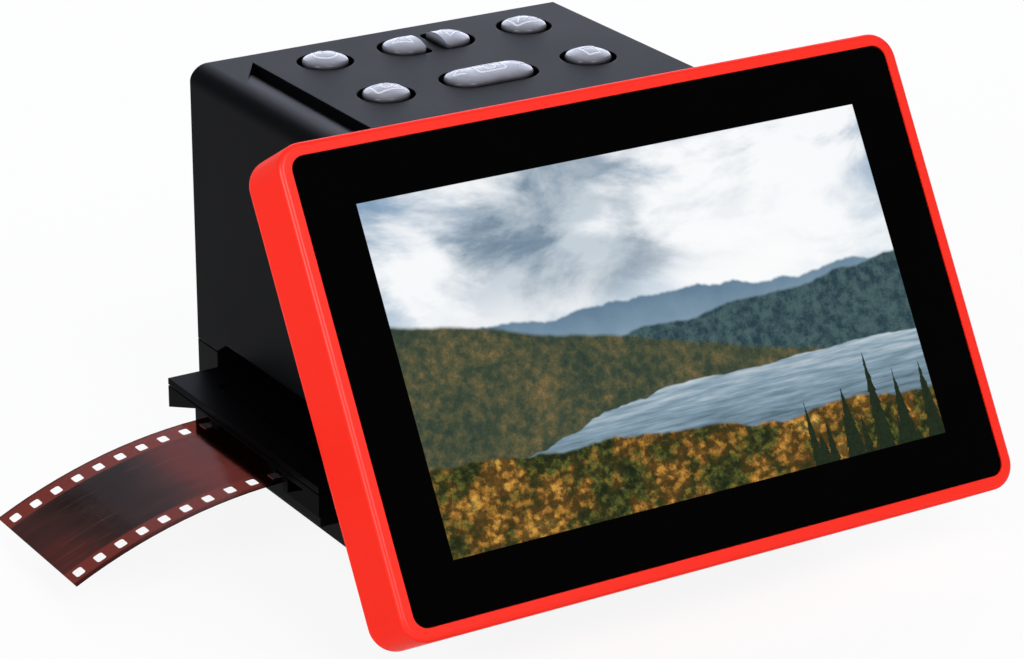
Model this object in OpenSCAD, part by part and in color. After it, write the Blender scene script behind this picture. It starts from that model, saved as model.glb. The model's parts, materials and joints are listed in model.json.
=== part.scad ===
// Film negative scanner: a housing over a film slot, a tilting display, seven keys,
// and a sliding film adapter with a hinged lid and a strip of film in it.
// X runs across the housing, Y to the back and Z up from the table, in millimetres.

/* [Housing] */
// Width of the housing
body_w = 84.9; // [80:0.1:100]
// Depth of the housing at its foot
body_d = 97; // [94:0.5:110]
// Height of the top deck over the underside
body_h = 79.8; // [78:0.1:95]
// Depth of the flat top deck
deck_d = 69.7; // [66:0.1:72]
// Wall thickness of the housing shells
wall = 2.2; // [1.8:0.1:2.8]
// Thickness of the top deck
deck_t = 2; // [1.6:0.1:2.4]
// Radius of the left shoulder of the top
shoulder_r = 4; // [3:0.5:6]
// Chamfer along the right edge of the top
edge_c = 0.4; // [0.2:0.1:2]
// Radius of the upright corners of the housing
corner_r = 0.5; // [0.3:0.1:2]
// Height of the seam between the two shells over the underside
seam_h = 22.5; // [21:0.1:23.5]
// Width of the groove between the two shells
seam_gap = 0.3; // [0.1:0.1:0.5]

/* [Scoop beside the keys] */
// Distance from the left wall to the step of the scoop
scoop_x = 11.75; // [11:0.25:13]
// Width of the rounded floor of the scoop
scoop_w = 7.75; // [5:0.25:8.5]
// Depth of the scoop at its step
scoop_deep = 2.4; // [1:0.1:3.5]
// Distance from the back wall to the end of the scoop
scoop_back = 4.7; // [3:0.1:8]
// How far forward the left side of the scoop's end lies of its right side
scoop_slant = 12; // [4:1:20]

/* [Slot for the adapter] */
// Depth of the corner post behind the slot
post_d = 8.9; // [8.5:0.1:11]
// Gap in front of the adapter, which the guide springs fill
spring_gap = 1; // [0.8:0.1:1.6]
// Height of the slot floor over the underside
floor_h = 12.8; // [12:0.1:14]
// Height of the slot roof over the underside
roof_h = 25; // [24:0.1:27]
// Thickness of the slot floor and of the slot roof
floor_t = 2; // [1.6:0.1:2.4]
// How far the shelf outside the slot stands out of the wall
shelf_out = 5.55; // [4:0.25:7]
// Height of the underside of the shelf over the underside of the housing
shelf_h = 5.7; // [4:0.1:8]
// Length of the shelf, front to back
shelf_w = 52; // [45:0.1:58]

/* [Keys] */
// Distance from the middle of the housing to the middle column of keys
keys_x = 4.9; // [3:0.1:5.3]
// Distance from the back wall to the back row of keys
key_back = 11.4; // [11.2:0.1:15]
// Spacing of the key columns
key_pitch_x = 23; // [22.5:0.1:24]
// Spacing of the two key rows
key_pitch_y = 24.2; // [20:0.1:26]
// Radius of the round key holes
key_hole_r = 5.7; // [5:0.05:6]
// Length of the long key hole
pill_len = 21.1; // [18:0.1:22]
// Gap between a key cap and the edge of its hole
key_gap = 1.05; // [0.4:0.05:1.3]
// Width of the web between the two half keys
key_web = 2.5; // [1.5:0.1:3]
// Height over the deck at which the dome of a key cap would meet its side
key_rise = 0.45; // [0.4:0.05:1.5]
// Height of the dome on a key cap
key_crown = 1.3; // [0.5:0.1:1.3]
// Radius between the dome and the side of a key cap
key_edge_r = 0.9; // [0.3:0.1:1.2]
// Radius of the corners of a half key
key_corner = 0.9; // [0.6:0.1:2]
// Travel of a key
key_travel = 0.7; // [0.3:0.1:0.8]

/* [Display] */
// Lean of the display from upright, in degrees
lean = 30.6; // [28:0.1:33]
// Black border beside the picture area
border_x = 10.55; // [9:0.05:16]
// Black border above and below the picture area
border_y = 10.35; // [8.5:0.05:12]
// Thickness of the display
disp_t = 15; // [14.5:0.1:17]
// Edge of the picture panel around the picture area
panel_edge = 5.5; // [3:0.5:6]
// Corner radius of the display
disp_r = 5.2; // [5:0.1:7]
// Width of the coloured rim around the glass, also the wall of the frame
rim = 2.45; // [2:0.05:2.8]
// How far the top edge of the display stands past the edge of the deck
rim_rise = 3.9; // [3.5:0.1:4.5]
// Radius of the front edge of the frame
frame_front_r = 1; // [0.5:0.1:1.5]
// Radius of the back edge of the frame
frame_back_r = 2; // [1:0.1:2]
// Gap between the closed display and the sloping front of the housing
rest_gap = 1; // [0.6:0.1:1.4]
// Thickness of the cover glass
glass_t = 1.1; // [0.8:0.1:1.4]
// Depth of the cover glass under the rim
glass_sink = 0.2; // [0.1:0.05:0.4]
// Width of the picture area of the screen
screen_w = 108; // [100:0.1:110]
// Height of the picture area of the screen
screen_h = 64.8; // [60:0.1:66]
// Thickness of the display back cover
back_t = 2; // [1.6:0.1:2.4]

/* [Display hinge] */
// Distance from the front edge of the deck back to the hinge axis
hinge_back = 3.5; // [3.4:0.1:3.8]
// Height of the hinge axis over the deck
hinge_up = 2; // [2:0.1:2.2]
// Radius of a hinge knuckle
knuckle_r = 1.75; // [1.6:0.05:1.8]
// Radius of a hinge pin
hinge_pin_r = 0.8; // [0.6:0.05:0.9]
// Length of one hinge
hinge_w = 20; // [16:0.5:20]
// Distance between the two hinges
hinge_span = 38; // [34:0.5:38]

/* [Film adapter] */
// Length of the adapter
adapter_len = 107.6; // [105:0.2:120]
// Width of the adapter
adapter_w = 62.2; // [61.8:0.1:62.6]
// Thickness of the tray of the adapter
tray_t = 4.6; // [4.5:0.1:5]
// Thickness of the lid of the adapter
lid_t = 1.3; // [1.2:0.1:1.6]
// Gap between the tray and the closed lid
lid_gap = 0.3; // [0.25:0.05:0.4]
// Width of the picture window
window_w = 36.4; // [36:0.1:37]
// Length of the floor of the tray on each side of the window
tray_floor_in = 17.8; // [14:0.1:22]
// Length of the press ribs under the lid
lid_rib_len = 62; // [50:0.5:66]
// Height of the picture window
window_d = 24.4; // [24:0.1:25]
// Distance from the back wall of the housing to the middle of the film
film_back = 39.2; // [38.8:0.1:39.6]

/* [Film strip] */
// Width of the film
film_w = 35; // [34.8:0.1:35.2]
// Thickness of the film
film_t = 0.2; // [0.14:0.01:0.24]
// Length of the flat part of the strip that lies to the left of the middle
film_flat = 50; // [46:0.5:53]
// Length of the flat part of the strip that lies to the right of the middle
film_right = 57; // [54:0.5:64]
// Radius of the curl in the free end
film_curl_r = 105; // [95:1:130]
// Distance from the middle of the housing to the free end of the film
film_reach = 96.9; // [85:0.1:98]
// Spacing of the perforations
perf_pitch = 4.75; // [4.7:0.01:4.8]

/* [Inside] */
// Space between the key board and the deck
key_space = 7.5; // [7:0.1:9]
// Space between the main board and the key board
board_space = 6.6; // [6:0.1:9]
// Space between the camera board and the main board
camera_space = 5; // [4:0.5:8]
// Space between the hood and the camera board
lens_space = 9; // [8:0.5:12]
// Width of the camera board
camera_w = 30; // [28:0.5:36]
// Depth of the camera board
camera_d = 29; // [27:0.5:32]
// Radius of the lens barrel
lens_r = 6; // [5:0.25:7]
// Length of the lens barrel
lens_h = 13; // [11:0.5:14]
// Size of the main chip
chip_w = 14; // [8:0.5:16]
// Width of the memory card socket
card_w = 26; // [25:0.5:28]
// Depth of the memory card socket
card_d = 24; // [20:0.5:28]
// Width of the power socket
usb_w = 9; // [8.5:0.1:9.5]
// Width of the video socket
hdmi_w = 11.2; // [11:0.1:12]
// Width of the ribbon from the camera
ribbon_w = 12; // [8:0.5:14]
// Thickness of a ribbon
ribbon_t = 0.3; // [0.2:0.05:0.4]
// Margin of the light board around the window
light_margin = 10; // [9.5:0.5:12]

/* [Fits] */
// Height of a rubber foot
foot_h = 1.5; // [1:0.1:3]
// Radius of a rubber foot
foot_r = 4.5; // [3:0.5:5]
// Clearance under and beside the adapter in its slot
slide_gap = 0.2; // [0.15:0.05:0.3]
// Running clearance around a hinge pin
pin_gap = 0.05; // [0.03:0.01:0.08]
// Clearance between fixed pieces that sit in each other
fit_gap = 0.15; // [0.1:0.05:0.2]
// Thickness of a circuit board
board_t = 1.6; // [1:0.1:1.8]

/* [Hidden] */
$fn = 96;
eps = 0.01;
big = 400;

// Levels and planes of the housing
z_base = foot_h;
z_deck = foot_h + body_h;
z_seam = z_base + seam_h;
z_floor = z_base + floor_h;
z_roof = z_base + roof_h;
y_back = body_d / 2;
y_front = -body_d / 2;
y_deck = y_back - deck_d;
in_w = body_w - 2 * wall;
slot_y1 = y_back - post_d;
slot_w = adapter_w + 2 * slide_gap + spring_gap;
slot_y0 = slot_y1 - slot_w;
film_y = y_back - film_back;

// Adapter in its slot
adapter_y1 = slot_y1 - 2 * slide_gap;
adapter_y0 = adapter_y1 - adapter_w;
adapter_z = z_floor + slide_gap;
tray_z1 = adapter_z + tray_t;
lid_z0 = tray_z1 + lid_gap;
lid_z1 = lid_z0 + lid_t;
track_gap = 0.3;
tray_floor = 1.5;
tray_floor_x = window_w / 2 + tray_floor_in;
film_z = adapter_z + tray_floor + 0.1 + film_t / 2;
channel_w = film_w + 2 * track_gap;
mouth_in = 6;
bridge_w = 3.5;
bridge_t = 0.8;
cheek_rise = 4.2;
cheek_run = 12.1;

// Hinge of the adapter lid
lid_knuckle_r = 1.3;
lid_pin_r = 0.5;
lid_axis_y = adapter_y1 - 1.9;
lid_axis_z = tray_z1 + 0.15;
lid_hinge_x = 24;
lid_ear_w = 3;
lid_mid_w = 5.4;
hinge_play = 0.3;
lid_hinge_w = 2 * lid_ear_w + lid_mid_w + 2 * hinge_play;

// Seats and places inside
screw_r = 1;
screw_head_r = 2.1;
screw_head_t = 1.4;
boss_r = 2.5;
boss_h = 14;
board_in = 15;
keypad_edge = 6.5;
spring_x = 22;
spring_up = 3;
spring_h = 2.4;
spring_half = 11;
head_sink = 0.2;
case_x = in_w / 2 - boss_r - 1.6;
case_y0 = y_front + wall + 9;
case_y1 = (slot_y1 + 1.5 + y_back - wall) / 2;
foot_x = body_w / 2 - 11;
foot_y = body_d / 2 - 9;
roof_boss_x = in_w / 2 - 2.4;
keypad_z = z_deck - deck_t - key_space;
main_z = keypad_z - board_space - board_t;
camera_z = main_z - camera_space - board_t;
hood_z0 = z_roof + floor_t;
hood_top = camera_z - lens_space;
hood_h = hood_top - hood_z0;
cap_r = key_hole_r - key_gap;
flange_t = 1.1;
flange_out = 0.7;
flange_z1 = z_deck - deck_t - 0.3;
stem_z = flange_z1 - flange_t - 1.2;
key_y1 = y_back - key_back;
key_y0 = key_y1 - key_pitch_y;
main_front = y_deck + 12;
light_z = z_base + floor_t + 2.5;
glass_w = screen_w + 2 * border_x;
glass_h = screen_h + 2 * border_y;
disp_w = glass_w + 2 * rim;
disp_h = glass_h + 2 * rim;
disp_y = rim_rise - disp_h / 2;
glass_z = disp_t - glass_sink - glass_t;
ledge_t = 2;
lcd_t = 3;
lcd_light_t = 1.6;
panel_w = screen_w + 2 * panel_edge;
panel_h = screen_h + 2 * panel_edge;
hinge_ear_w = 4;
hinge_mid_w = hinge_w - 2 * hinge_ear_w - 2 * hinge_play;

// Side view of the body, t inside its walls and top_t under its deck, from level z0 up
function side_view(t, top_t, z0) = [
    [y_front + t, z0], [y_back - t, z0], [y_back - t, z_deck - top_t],
    [y_deck + t / cos(lean) - top_t * tan(lean), z_deck - top_t],
    [y_front + t, z_deck - (y_deck + t / cos(lean) - y_front - t) / tan(lean)]];

// Extrudes a Y-Z drawing across the body
module across(w) rotate([90, 0, 90]) linear_extrude(w, center = true) children();

// Extrudes an X-Z drawing front to back, between y0 and y1
module lengthwise(y0, y1) translate([0, y1, 0]) rotate([90, 0, 0]) linear_extrude(y1 - y0) children();

// Box between two levels, centred on x and y
module slab(x, y, w, d, z0, z1) translate([x - w / 2, y - d / 2, z0]) cube([w, d, z1 - z0]);

// Upright rod between two levels
module rod(x, y, r, z0, z1) translate([x, y, z0]) cylinder(r = r, h = z1 - z0);

// Rectangle with round corners, drawn about its middle
module round_rect(w, h, r) {
    square([w - 2 * r, h], center = true);
    square([w, h - 2 * r], center = true);
    for (sx = [-1, 1], sy = [-1, 1])
        translate([sx * (w / 2 - r), sy * (h / 2 - r)]) circle(r);
}

// Long round-ended outline
module stadium(len, r) {
    square([len - 2 * r, 2 * r], center = true);
    for (s = [-1, 1]) translate([s * (len / 2 - r), 0]) circle(r);
}

// Front view of the body with a round left shoulder and a chamfered right edge
module front_view(t, top_t, r, c) {
    x0 = -body_w / 2 + t;
    x1 = body_w / 2 - t;
    z1 = z_deck - top_t;
    polygon([[x0, 0], [x1, 0], [x1, z1 - c], [x1 - c, z1], [x0 + r, z1], [x0 + r, z1 - r], [x0, z1 - r]]);
    translate([x0 + r, z1 - r]) circle(r);
}

// Whole outer form of the body
module body_form() intersection() {
    across(body_w) polygon(side_view(0, 0, z_base));
    lengthwise(y_front - 1, y_back + 1) front_view(0, 0, shoulder_r, edge_c);
    linear_extrude(z_deck + 1) round_rect(body_w, body_d, corner_r);
}

// Space inside the shells, which stays clear of the scoop
module body_space() difference() {
    intersection() {
        across(in_w) polygon(side_view(wall, deck_t, z_base - 1));
        lengthwise(y_front, y_back) front_view(wall, deck_t, shoulder_r - wall / 2, edge_c / 2);
    }
    lengthwise(y_front, y_back - scoop_back + deck_t) scoop_view(deck_t);
}

// Section of the scoop: a step on the right and a rounded floor that rises to the left,
// grown by a wall thickness for the space under it
module scoop_view(grow) {
    rise = scoop_deep + 0.02;
    r = (scoop_w * scoop_w + rise * rise) / (2 * rise);
    translate([scoop_x - scoop_w - body_w / 2, z_deck - scoop_deep]) difference() {
        translate([0, -grow - 0.5]) square([scoop_w + grow, scoop_deep + grow + 2]);
        translate([0, rise - r]) circle(r - grow, $fn = 720);
    }
}

// Room cut out for the scoop, with an end that runs slanting across it
module scoop_cut() {
    step_x = scoop_x - body_w / 2;
    end_y = y_back - scoop_back;
    intersection() {
        lengthwise(-big, y_back) scoop_view(0);
        linear_extrude(big) polygon([[step_x + 1, -big], [step_x + 1, end_y], [step_x, end_y],
            [step_x - 2 * scoop_w, end_y - 2 * scoop_slant], [step_x - 2 * scoop_w, -big]]);
    }
}

// Side view of the slot, with the sloping corner above its back end
module slot_view() polygon([[slot_y0, z_floor], [slot_y1, z_floor], [slot_y1, z_seam],
    [slot_y1 - 4, z_roof], [slot_y0, z_roof]]);

// Places of the four case screws
module at_case_screws() {
    for (sx = [-1, 1]) {
        translate([sx * case_x, case_y0, 0]) children();
        translate([sx * case_x, case_y1, 0]) children();
    }
}

// Bosses of the case screws, tied to the side walls by ribs
module case_bosses(z0, z1) {
    at_case_screws() rod(0, 0, boss_r, z0, z1);
    for (s = [-1, 1], y = [case_y0, case_y1]) slab(s * (case_x + in_w / 2 + 0.5) / 2, y,
        in_w / 2 + 0.5 - case_x, 2, z0, z1);
}

// Places of the four roof screws
module at_roof_screws() for (sx = [-1, 1], y = [slot_y0 + 4, slot_y1 - 8])
    translate([sx * roof_boss_x, y, 0]) children();

// Places of the four main board screws
module at_main_screws() for (sx = [-1, 1], y = [main_front + 4, y_back - wall - 7])
    translate([sx * (in_w / 2 - 3.4), y, 0]) children();

// Places of the four keypad screws
module at_keypad_screws() for (sx = [-1, 1], sy = [-1, 1])
    translate([keys_x + sx * key_pitch_x / 2, (key_y0 + key_y1) / 2 + sy * 5, 0]) children();

// Screw with its head down, standing on level z0
module screw_up(z0, len, r = screw_r) {
    color("silver") {
        translate([0, 0, z0]) cylinder(r = screw_head_r, h = screw_head_t);
        translate([0, 0, z0 + eps]) cylinder(r = r, h = len);
    }
}

// Lower shell: walls, slot floor with the window, shelves and screw bosses
module base_housing() color([0.13, 0.13, 0.15]) difference() {
    union() {
        difference() {
            intersection() {
                body_form();
                slab(0, 0, big, big, 0, z_seam - seam_gap);
            }
            body_space();
        }
        slab(0, (slot_y0 + slot_y1) / 2, in_w + 1, slot_w + 3, z_floor - floor_t, z_floor);
        for (y = [slot_y0 - 0.75, slot_y1 + 0.75])
            slab(0, y, in_w + 1, 1.5, z_floor - floor_t, z_seam - seam_gap);
        for (s = [-1, 1])
            slab(s * (body_w / 2 + shelf_out / 2 - 0.5), slot_y1 - 2 * slide_gap - shelf_w / 2,
                shelf_out + 1, shelf_w, z_base + shelf_h, z_floor);
        case_bosses(z_base + floor_t + fit_gap, z_seam - seam_gap);
    }
    across(big) slot_view();
    at_case_screws() rod(0, 0, screw_r + fit_gap, 0, z_seam);
    slab(0, film_y, window_w + 6, window_d + 6, z_floor - floor_t - 1, z_floor - 1);
    slab(0, film_y, window_w + 2, window_d + 2, z_floor - floor_t - 1, z_floor + 1);
}

// Upper shell: walls, deck with key holes, scoop, hinge ears, bosses and socket holes
module upper_housing() color([0.14, 0.14, 0.16]) difference() {
    union() {
        difference() {
            intersection() {
                body_form();
                slab(0, 0, big, big, z_seam, big);
            }
            body_space();
        }
        case_bosses(z_seam, z_seam + boss_h);
        at_roof_screws() rod(0, 0, boss_r, z_roof + floor_t + fit_gap, z_roof + floor_t + 9);
        at_main_screws() rod(0, 0, boss_r, main_z + board_t + fit_gap, z_deck - deck_t / 2);
        at_keypad_screws() rod(0, 0, 2, keypad_z + board_t + fit_gap, z_deck - eps);
        at_hinges(hinge_ear_w) hinge_ear();
    }
    scoop_cut();
    across(big) slot_view();
    at_case_screws() rod(0, 0, screw_r, z_seam - 1, z_seam + boss_h - 2);
    at_roof_screws() rod(0, 0, screw_r, z_roof, z_roof + floor_t + 8);
    at_main_screws() rod(0, 0, screw_r, main_z, main_z + board_t + 6);
    at_keypad_screws() rod(0, 0, screw_r - 0.3, keypad_z, keypad_z + board_t + 4);
    for (x = [keys_x - key_pitch_x, keys_x + key_pitch_x], y = [key_y0, key_y1])
        rod(x, y, key_hole_r, z_deck - 2 * deck_t, z_deck + 1);
    translate([keys_x, key_y0, z_deck - 2 * deck_t]) linear_extrude(3 * deck_t) stadium(pill_len, key_hole_r);
    for (s = [-1, 1]) translate([keys_x, key_y1, z_deck - 2 * deck_t])
        linear_extrude(3 * deck_t) half_stadium(s, key_web / 2, pill_len, key_hole_r, key_corner + key_gap / 2);
    at_socket(usb_x) stadium(usb_w + 1, usb_h / 2 + 0.5);
    at_socket(hdmi_x) square([hdmi_w + 1, hdmi_h + 1], center = true);
    at_socket(card_x) square([card_w + 1, card_h + 0.8], center = true);
    for (s = [-1, 1]) translate([s * hinge_span / 2, hinge_y, hinge_z]) rotate([0, 90, 0])
        cylinder(r = hinge_pin_r, h = hinge_w + 2, center = true);
}

// One side of a long outline, cut straight at the distance gap from its middle, with corners of radius c
module half_stadium(side, gap, len, r, c) mirror([side > 0 ? 0 : 1, 0]) {
    intersection() {
        translate([len / 2 - r, 0]) circle(r);
        translate([gap, -r]) square([len, 2 * r]);
    }
    translate([gap + c, -r]) square([len / 2 - r - gap - c, 2 * r]);
    translate([gap, c - r]) square([c + eps, 2 * (r - c)]);
    for (sy = [-1, 1]) translate([gap + c, sy * (r - c)]) circle(c);
}

// Sockets in the back wall: places and sizes
usb_x = 24;
usb_h = 3.3;
usb_d = 7.5;
hdmi_x = 6;
hdmi_h = 3.2;
hdmi_d = 9;
card_x = -17;
card_h = 3;
socket_z = main_z + board_t + 2.2;

// Socket hole through the back wall
module at_socket(x) translate([x, y_back + 1, socket_z]) rotate([90, 0, 0])
    linear_extrude(wall + 2) children();

// Hinge axis of the display
hinge_y = y_deck + hinge_back;
hinge_z = z_deck + hinge_up;

// Two ears of each hinge, outside its middle knuckle
module at_hinges(w) for (sx = [-1, 1], s = [-1, 1])
    translate([sx * hinge_span / 2 + s * (hinge_w - w) / 2, hinge_y, hinge_z]) children();

// Hinge ear on the deck
module hinge_ear() {
    rotate([0, 90, 0]) cylinder(r = knuckle_r, h = hinge_ear_w, center = true);
    slab(0, 1, hinge_ear_w, 2 * knuckle_r, -hinge_up - deck_t / 2, 0);
    slab(0, 0, hinge_ear_w, 2 * knuckle_r, -hinge_up - deck_t / 2, 0);
}

// Plate that closes the lower shell from below, with posts for the light board
module bottom_plate() color([0.12, 0.12, 0.13]) difference() {
    union() {
        translate([0, 0, z_base]) linear_extrude(floor_t)
            round_rect(in_w - 2 * fit_gap, body_d - 2 * wall - 2 * fit_gap, 1);
        at_light_screws() rod(0, 0, boss_r, z_base, light_z);
    }
    at_case_screws() rod(0, 0, screw_r + fit_gap, 0, z_base + floor_t + 1);
    at_case_screws() rod(0, 0, screw_head_r + 0.3, 0, z_base + head_sink + screw_head_t);
    at_light_screws() rod(0, 0, screw_r, z_base + 1, light_z + 1);
}

// Places of the four light board screws
module at_light_screws() for (sx = [-1, 1], sy = [-1, 1])
    translate([sx * (window_w / 2 + 7), film_y + sy * (window_d / 2 + 4), 0]) children();

// Four rubber feet on the bottom plate
module rubber_feet() color([0.08, 0.08, 0.08]) for (sx = [-1, 1], sy = [-1, 1])
    rod(sx * foot_x, sy * foot_y, foot_r, 0, z_base);

// Four screws that hold the two shells and the bottom plate together
module case_screws() at_case_screws() screw_up(z_base + head_sink, z_seam + boss_h - 4 - z_base);

// Plate over the slot, with the window to the lens
module slot_roof() color([0.1, 0.1, 0.1]) difference() {
    slab(0, (slot_y0 + slot_y1) / 2, in_w - 2 * fit_gap, slot_w + 2, z_roof, z_roof + floor_t);
    slab(0, film_y, window_w + 4, window_d + 4, z_roof - 1, z_roof + floor_t + 1);
    at_roof_screws() rod(0, 0, screw_r + fit_gap, z_roof - 1, z_roof + floor_t + 1);
    at_roof_screws() rod(0, 0, screw_head_r + 0.2, z_roof - 1, z_roof + screw_head_t);
    across(big) polygon([[slot_y1 + 3, z_seam], [slot_y1 + 3, z_roof + floor_t + 1],
        [slot_y1 - 0.5, z_roof + floor_t + 1], [slot_y1 - 0.5, z_roof], [slot_y1 - 4, z_roof - eps]]);
}

// Screws that hold the slot roof
module roof_screws() at_roof_screws() screw_up(z_roof, 8);

// Hood of stepped frames between the slot roof and the lens, with the camera posts
module lens_hood() color([0.1, 0.1, 0.1]) {
    hood_step(window_w + 8, window_w + 4, window_d + 4, 0, 0.35);
    hood_step(window_w + 6, window_w - 4, window_d, 0.35, 0.7);
    hood_step(window_w, window_w - 10, window_d - 2, 0.7, 0.9);
    difference() {
        slab(0, film_y, window_w, hood_d, hood_z0 + 0.9 * hood_h, hood_top);
        rod(0, film_y, lens_r + 1, z_roof, hood_top + 1);
    }
    at_camera_screws() difference() {
        rod(0, 0, post_r, hood_top - eps, camera_z);
        rod(0, 0, screw_r - 0.2, hood_top + 1, camera_z + 1);
    }
}

// One frame of the hood, from the share a to the share b of its height
module hood_step(w, in_x, in_y, a, b) difference() {
    slab(0, film_y, w, hood_d, hood_z0 + a * hood_h, hood_z0 + b * hood_h);
    slab(0, film_y, in_x, in_y, hood_z0 + a * hood_h - 1, hood_z0 + b * hood_h + 1);
}
hood_d = window_d + 8;
post_r = 2;

// Places of the four camera board screws
module at_camera_screws() for (sx = [-1, 1], sy = [-1, 1])
    translate([sx * camera_screw_x, film_y + sy * camera_screw_y, 0]) children();

// Lens, its mount and the sensor board
mount_h = 6.5;
mount_wall = 2;
lens_sink = 2.5;
sensor_w = 9;
sensor_t = 1.4;
glass_r = lens_r - 1.2;
lens_z = camera_z - lens_sink - lens_h;
camera_screw_x = camera_w / 2 - 3;
camera_screw_y = camera_d / 2 - 3;

module lens_mount() color([0.15, 0.15, 0.15]) difference() {
    slab(0, film_y, 2 * (lens_r + mount_wall + 1), 2 * (lens_r + mount_wall), camera_z - mount_h, camera_z);
    rod(0, film_y, lens_r + pin_gap, camera_z - mount_h - 1, camera_z + 1);
}

module lens_barrel() color([0.2, 0.2, 0.22]) difference() {
    rod(0, film_y, lens_r, lens_z, lens_z + lens_h);
    rod(0, film_y, glass_r, lens_z - 1, lens_z + lens_h + 1);
}

// Three lens elements inside the barrel
module lens_glass() color([0.6, 0.7, 0.8]) for (i = [0:2]) intersection() {
    z = lens_z + 0.5 + i * (lens_h - 4) / 2;
    rod(0, film_y, glass_r, z, z + 3);
    translate([0, film_y, z + 2 * lens_r]) sphere(2 * lens_r);
    translate([0, film_y, z + 2.5 - 2 * lens_r]) sphere(2 * lens_r);
}

module camera_board() color([0.05, 0.3, 0.15]) difference() {
    slab(0, film_y, camera_w, camera_d, camera_z, camera_z + board_t);
    at_camera_screws() rod(0, 0, screw_r, camera_z - 1, camera_z + board_t + 1);
}

module image_sensor() color([0.2, 0.2, 0.25])
    slab(0, film_y, sensor_w, sensor_w - 1, camera_z - sensor_t, camera_z);

module camera_screws() at_camera_screws() translate([0, 0, camera_z + board_t]) color("silver") {
    cylinder(r = 1.8, h = 1.2);
    translate([0, 0, -board_t - 5]) cylinder(r = screw_r - 0.25, h = board_t + 5 + eps);
}

// Main board with its chips, screws and sockets
module main_board() color([0.05, 0.3, 0.15]) difference() {
    translate([-in_w / 2 + 1, main_front, main_z]) cube([in_w - 2, y_back - wall - 0.5 - main_front, board_t]);
    at_main_screws() rod(0, 0, screw_r + fit_gap, main_z - 1, main_z + board_t + 1);
}

module main_board_chips() color([0.08, 0.08, 0.09]) {
    z = main_z + board_t;
    slab(0, main_front + 12 + chip_w, chip_w, chip_w, z, z + 1.2);
    slab(1.5 * chip_w, main_front + 4 + chip_w, chip_w - 2, chip_w / 2, z, z + 1);
    slab(-1.5 * chip_w, main_front + 4 + chip_w / 2, chip_w / 2, chip_w / 2, z, z + 1);
    for (i = [0:3]) rod(-2 * chip_w + 4 * i, main_front + 8 + chip_w, 1.5, z, z + 3);
}

module main_board_screws() at_main_screws() screw_up(main_z - screw_head_t, 7, screw_r - 0.1);

// Round-ended shell of the power socket, with its tongue
module usb_socket() color("silver") {
    socket_at(usb_x, usb_d) difference() {
        stadium(usb_w, usb_h / 2);
        stadium(usb_w - 0.7, usb_h / 2 - 0.35);
    }
    translate([usb_x, y_back - usb_d, socket_z]) rotate([90, 0, 0]) linear_extrude(0.8)
        stadium(usb_w, usb_h / 2);
    slab(usb_x, y_back - usb_d + 2.3, usb_w - 2.4, 5, socket_z - 0.35, socket_z + 0.35);
    slab(usb_x, y_back - usb_d + 1.3, usb_w - 2, 4, main_z + board_t, socket_z - usb_h / 2 + 0.2);
}

// Socket body that ends 0.4 mm inside the back face
module socket_at(x, deep) translate([x, y_back - 0.4, socket_z]) rotate([90, 0, 0])
    linear_extrude(deep) children();

module hdmi_socket() color("silver") {
    socket_at(hdmi_x, hdmi_d) difference() {
        square([hdmi_w, hdmi_h], center = true);
        square([hdmi_w - 0.8, hdmi_h - 0.8], center = true);
    }
    slab(hdmi_x, y_back - hdmi_d, hdmi_w, 0.8, socket_z - hdmi_h / 2, socket_z + hdmi_h / 2);
    slab(hdmi_x, y_back - hdmi_d + 3.1, hdmi_w - 3.2, 6, socket_z - 0.4, socket_z + 0.4);
    slab(hdmi_x, y_back - hdmi_d + 2.5, hdmi_w - 2, 4, main_z + board_t, socket_z - hdmi_h / 2 + 0.2);
}

module card_socket() color([0.75, 0.75, 0.78]) {
    socket_at(card_x, card_d) difference() {
        square([card_w, card_h], center = true);
        square([card_w - 1, card_h - 1], center = true);
    }
    slab(card_x, y_back - card_d, card_w, 1, socket_z - card_h / 2, socket_z + card_h / 2);
    slab(card_x, y_back - card_d / 2 - 1, card_w - 2, card_d - 6, main_z + board_t, socket_z - card_h / 2 + 0.2);
}

// Board under the keys with seven dome switches
module keypad_board() color([0.05, 0.3, 0.15]) difference() {
    slab(keys_x, (key_y0 + key_y1) / 2, 2 * (key_pitch_x + keypad_edge), key_pitch_y + 2 * keypad_edge,
        keypad_z, keypad_z + board_t);
    at_keypad_screws() rod(0, 0, screw_r, keypad_z - 1, keypad_z + board_t + 1);
    at_main_screws() rod(0, 0, boss_r + 0.5, keypad_z - 1, keypad_z + board_t + 1);
}

module at_switches() {
    for (x = [-1, 0, 1]) translate([keys_x + x * key_pitch_x, key_y0, 0]) children();
    for (x = [-1, 1]) translate([keys_x + x * key_pitch_x, key_y1, 0]) children();
    for (s = [-1, 1]) translate([keys_x + s * half_key_x, key_y1, 0]) children();
}
half_key_x = key_web / 2 + 4.5;

module key_switches() color([0.2, 0.2, 0.2]) at_switches() {
    slab(0, 0, 6, 6, keypad_z + board_t, keypad_z + board_t + 1.8);
    rod(0, 0, 1.6, keypad_z + board_t, stem_z - key_travel - 0.1);
}

module keypad_screws() at_keypad_screws() screw_up(keypad_z - screw_head_t, 5.4, screw_r - 0.35);

// Light under the slot: board, light sources, white box and diffuser
module backlight_board() color([0.9, 0.9, 0.88]) difference() {
    slab(0, film_y, window_w + 2 * light_margin, window_d + 14, light_z, light_z + board_t);
    at_light_screws() rod(0, 0, screw_r + fit_gap, light_z - 1, light_z + board_t + 1);
}

module backlight_leds() color([1, 0.95, 0.6]) for (i = [-1.5:1.5], j = [-1:1])
    slab(i * window_w / 4, film_y + j * window_d / 3, 2.8, 2.8, light_z + board_t, light_z + board_t + 0.8);

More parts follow.
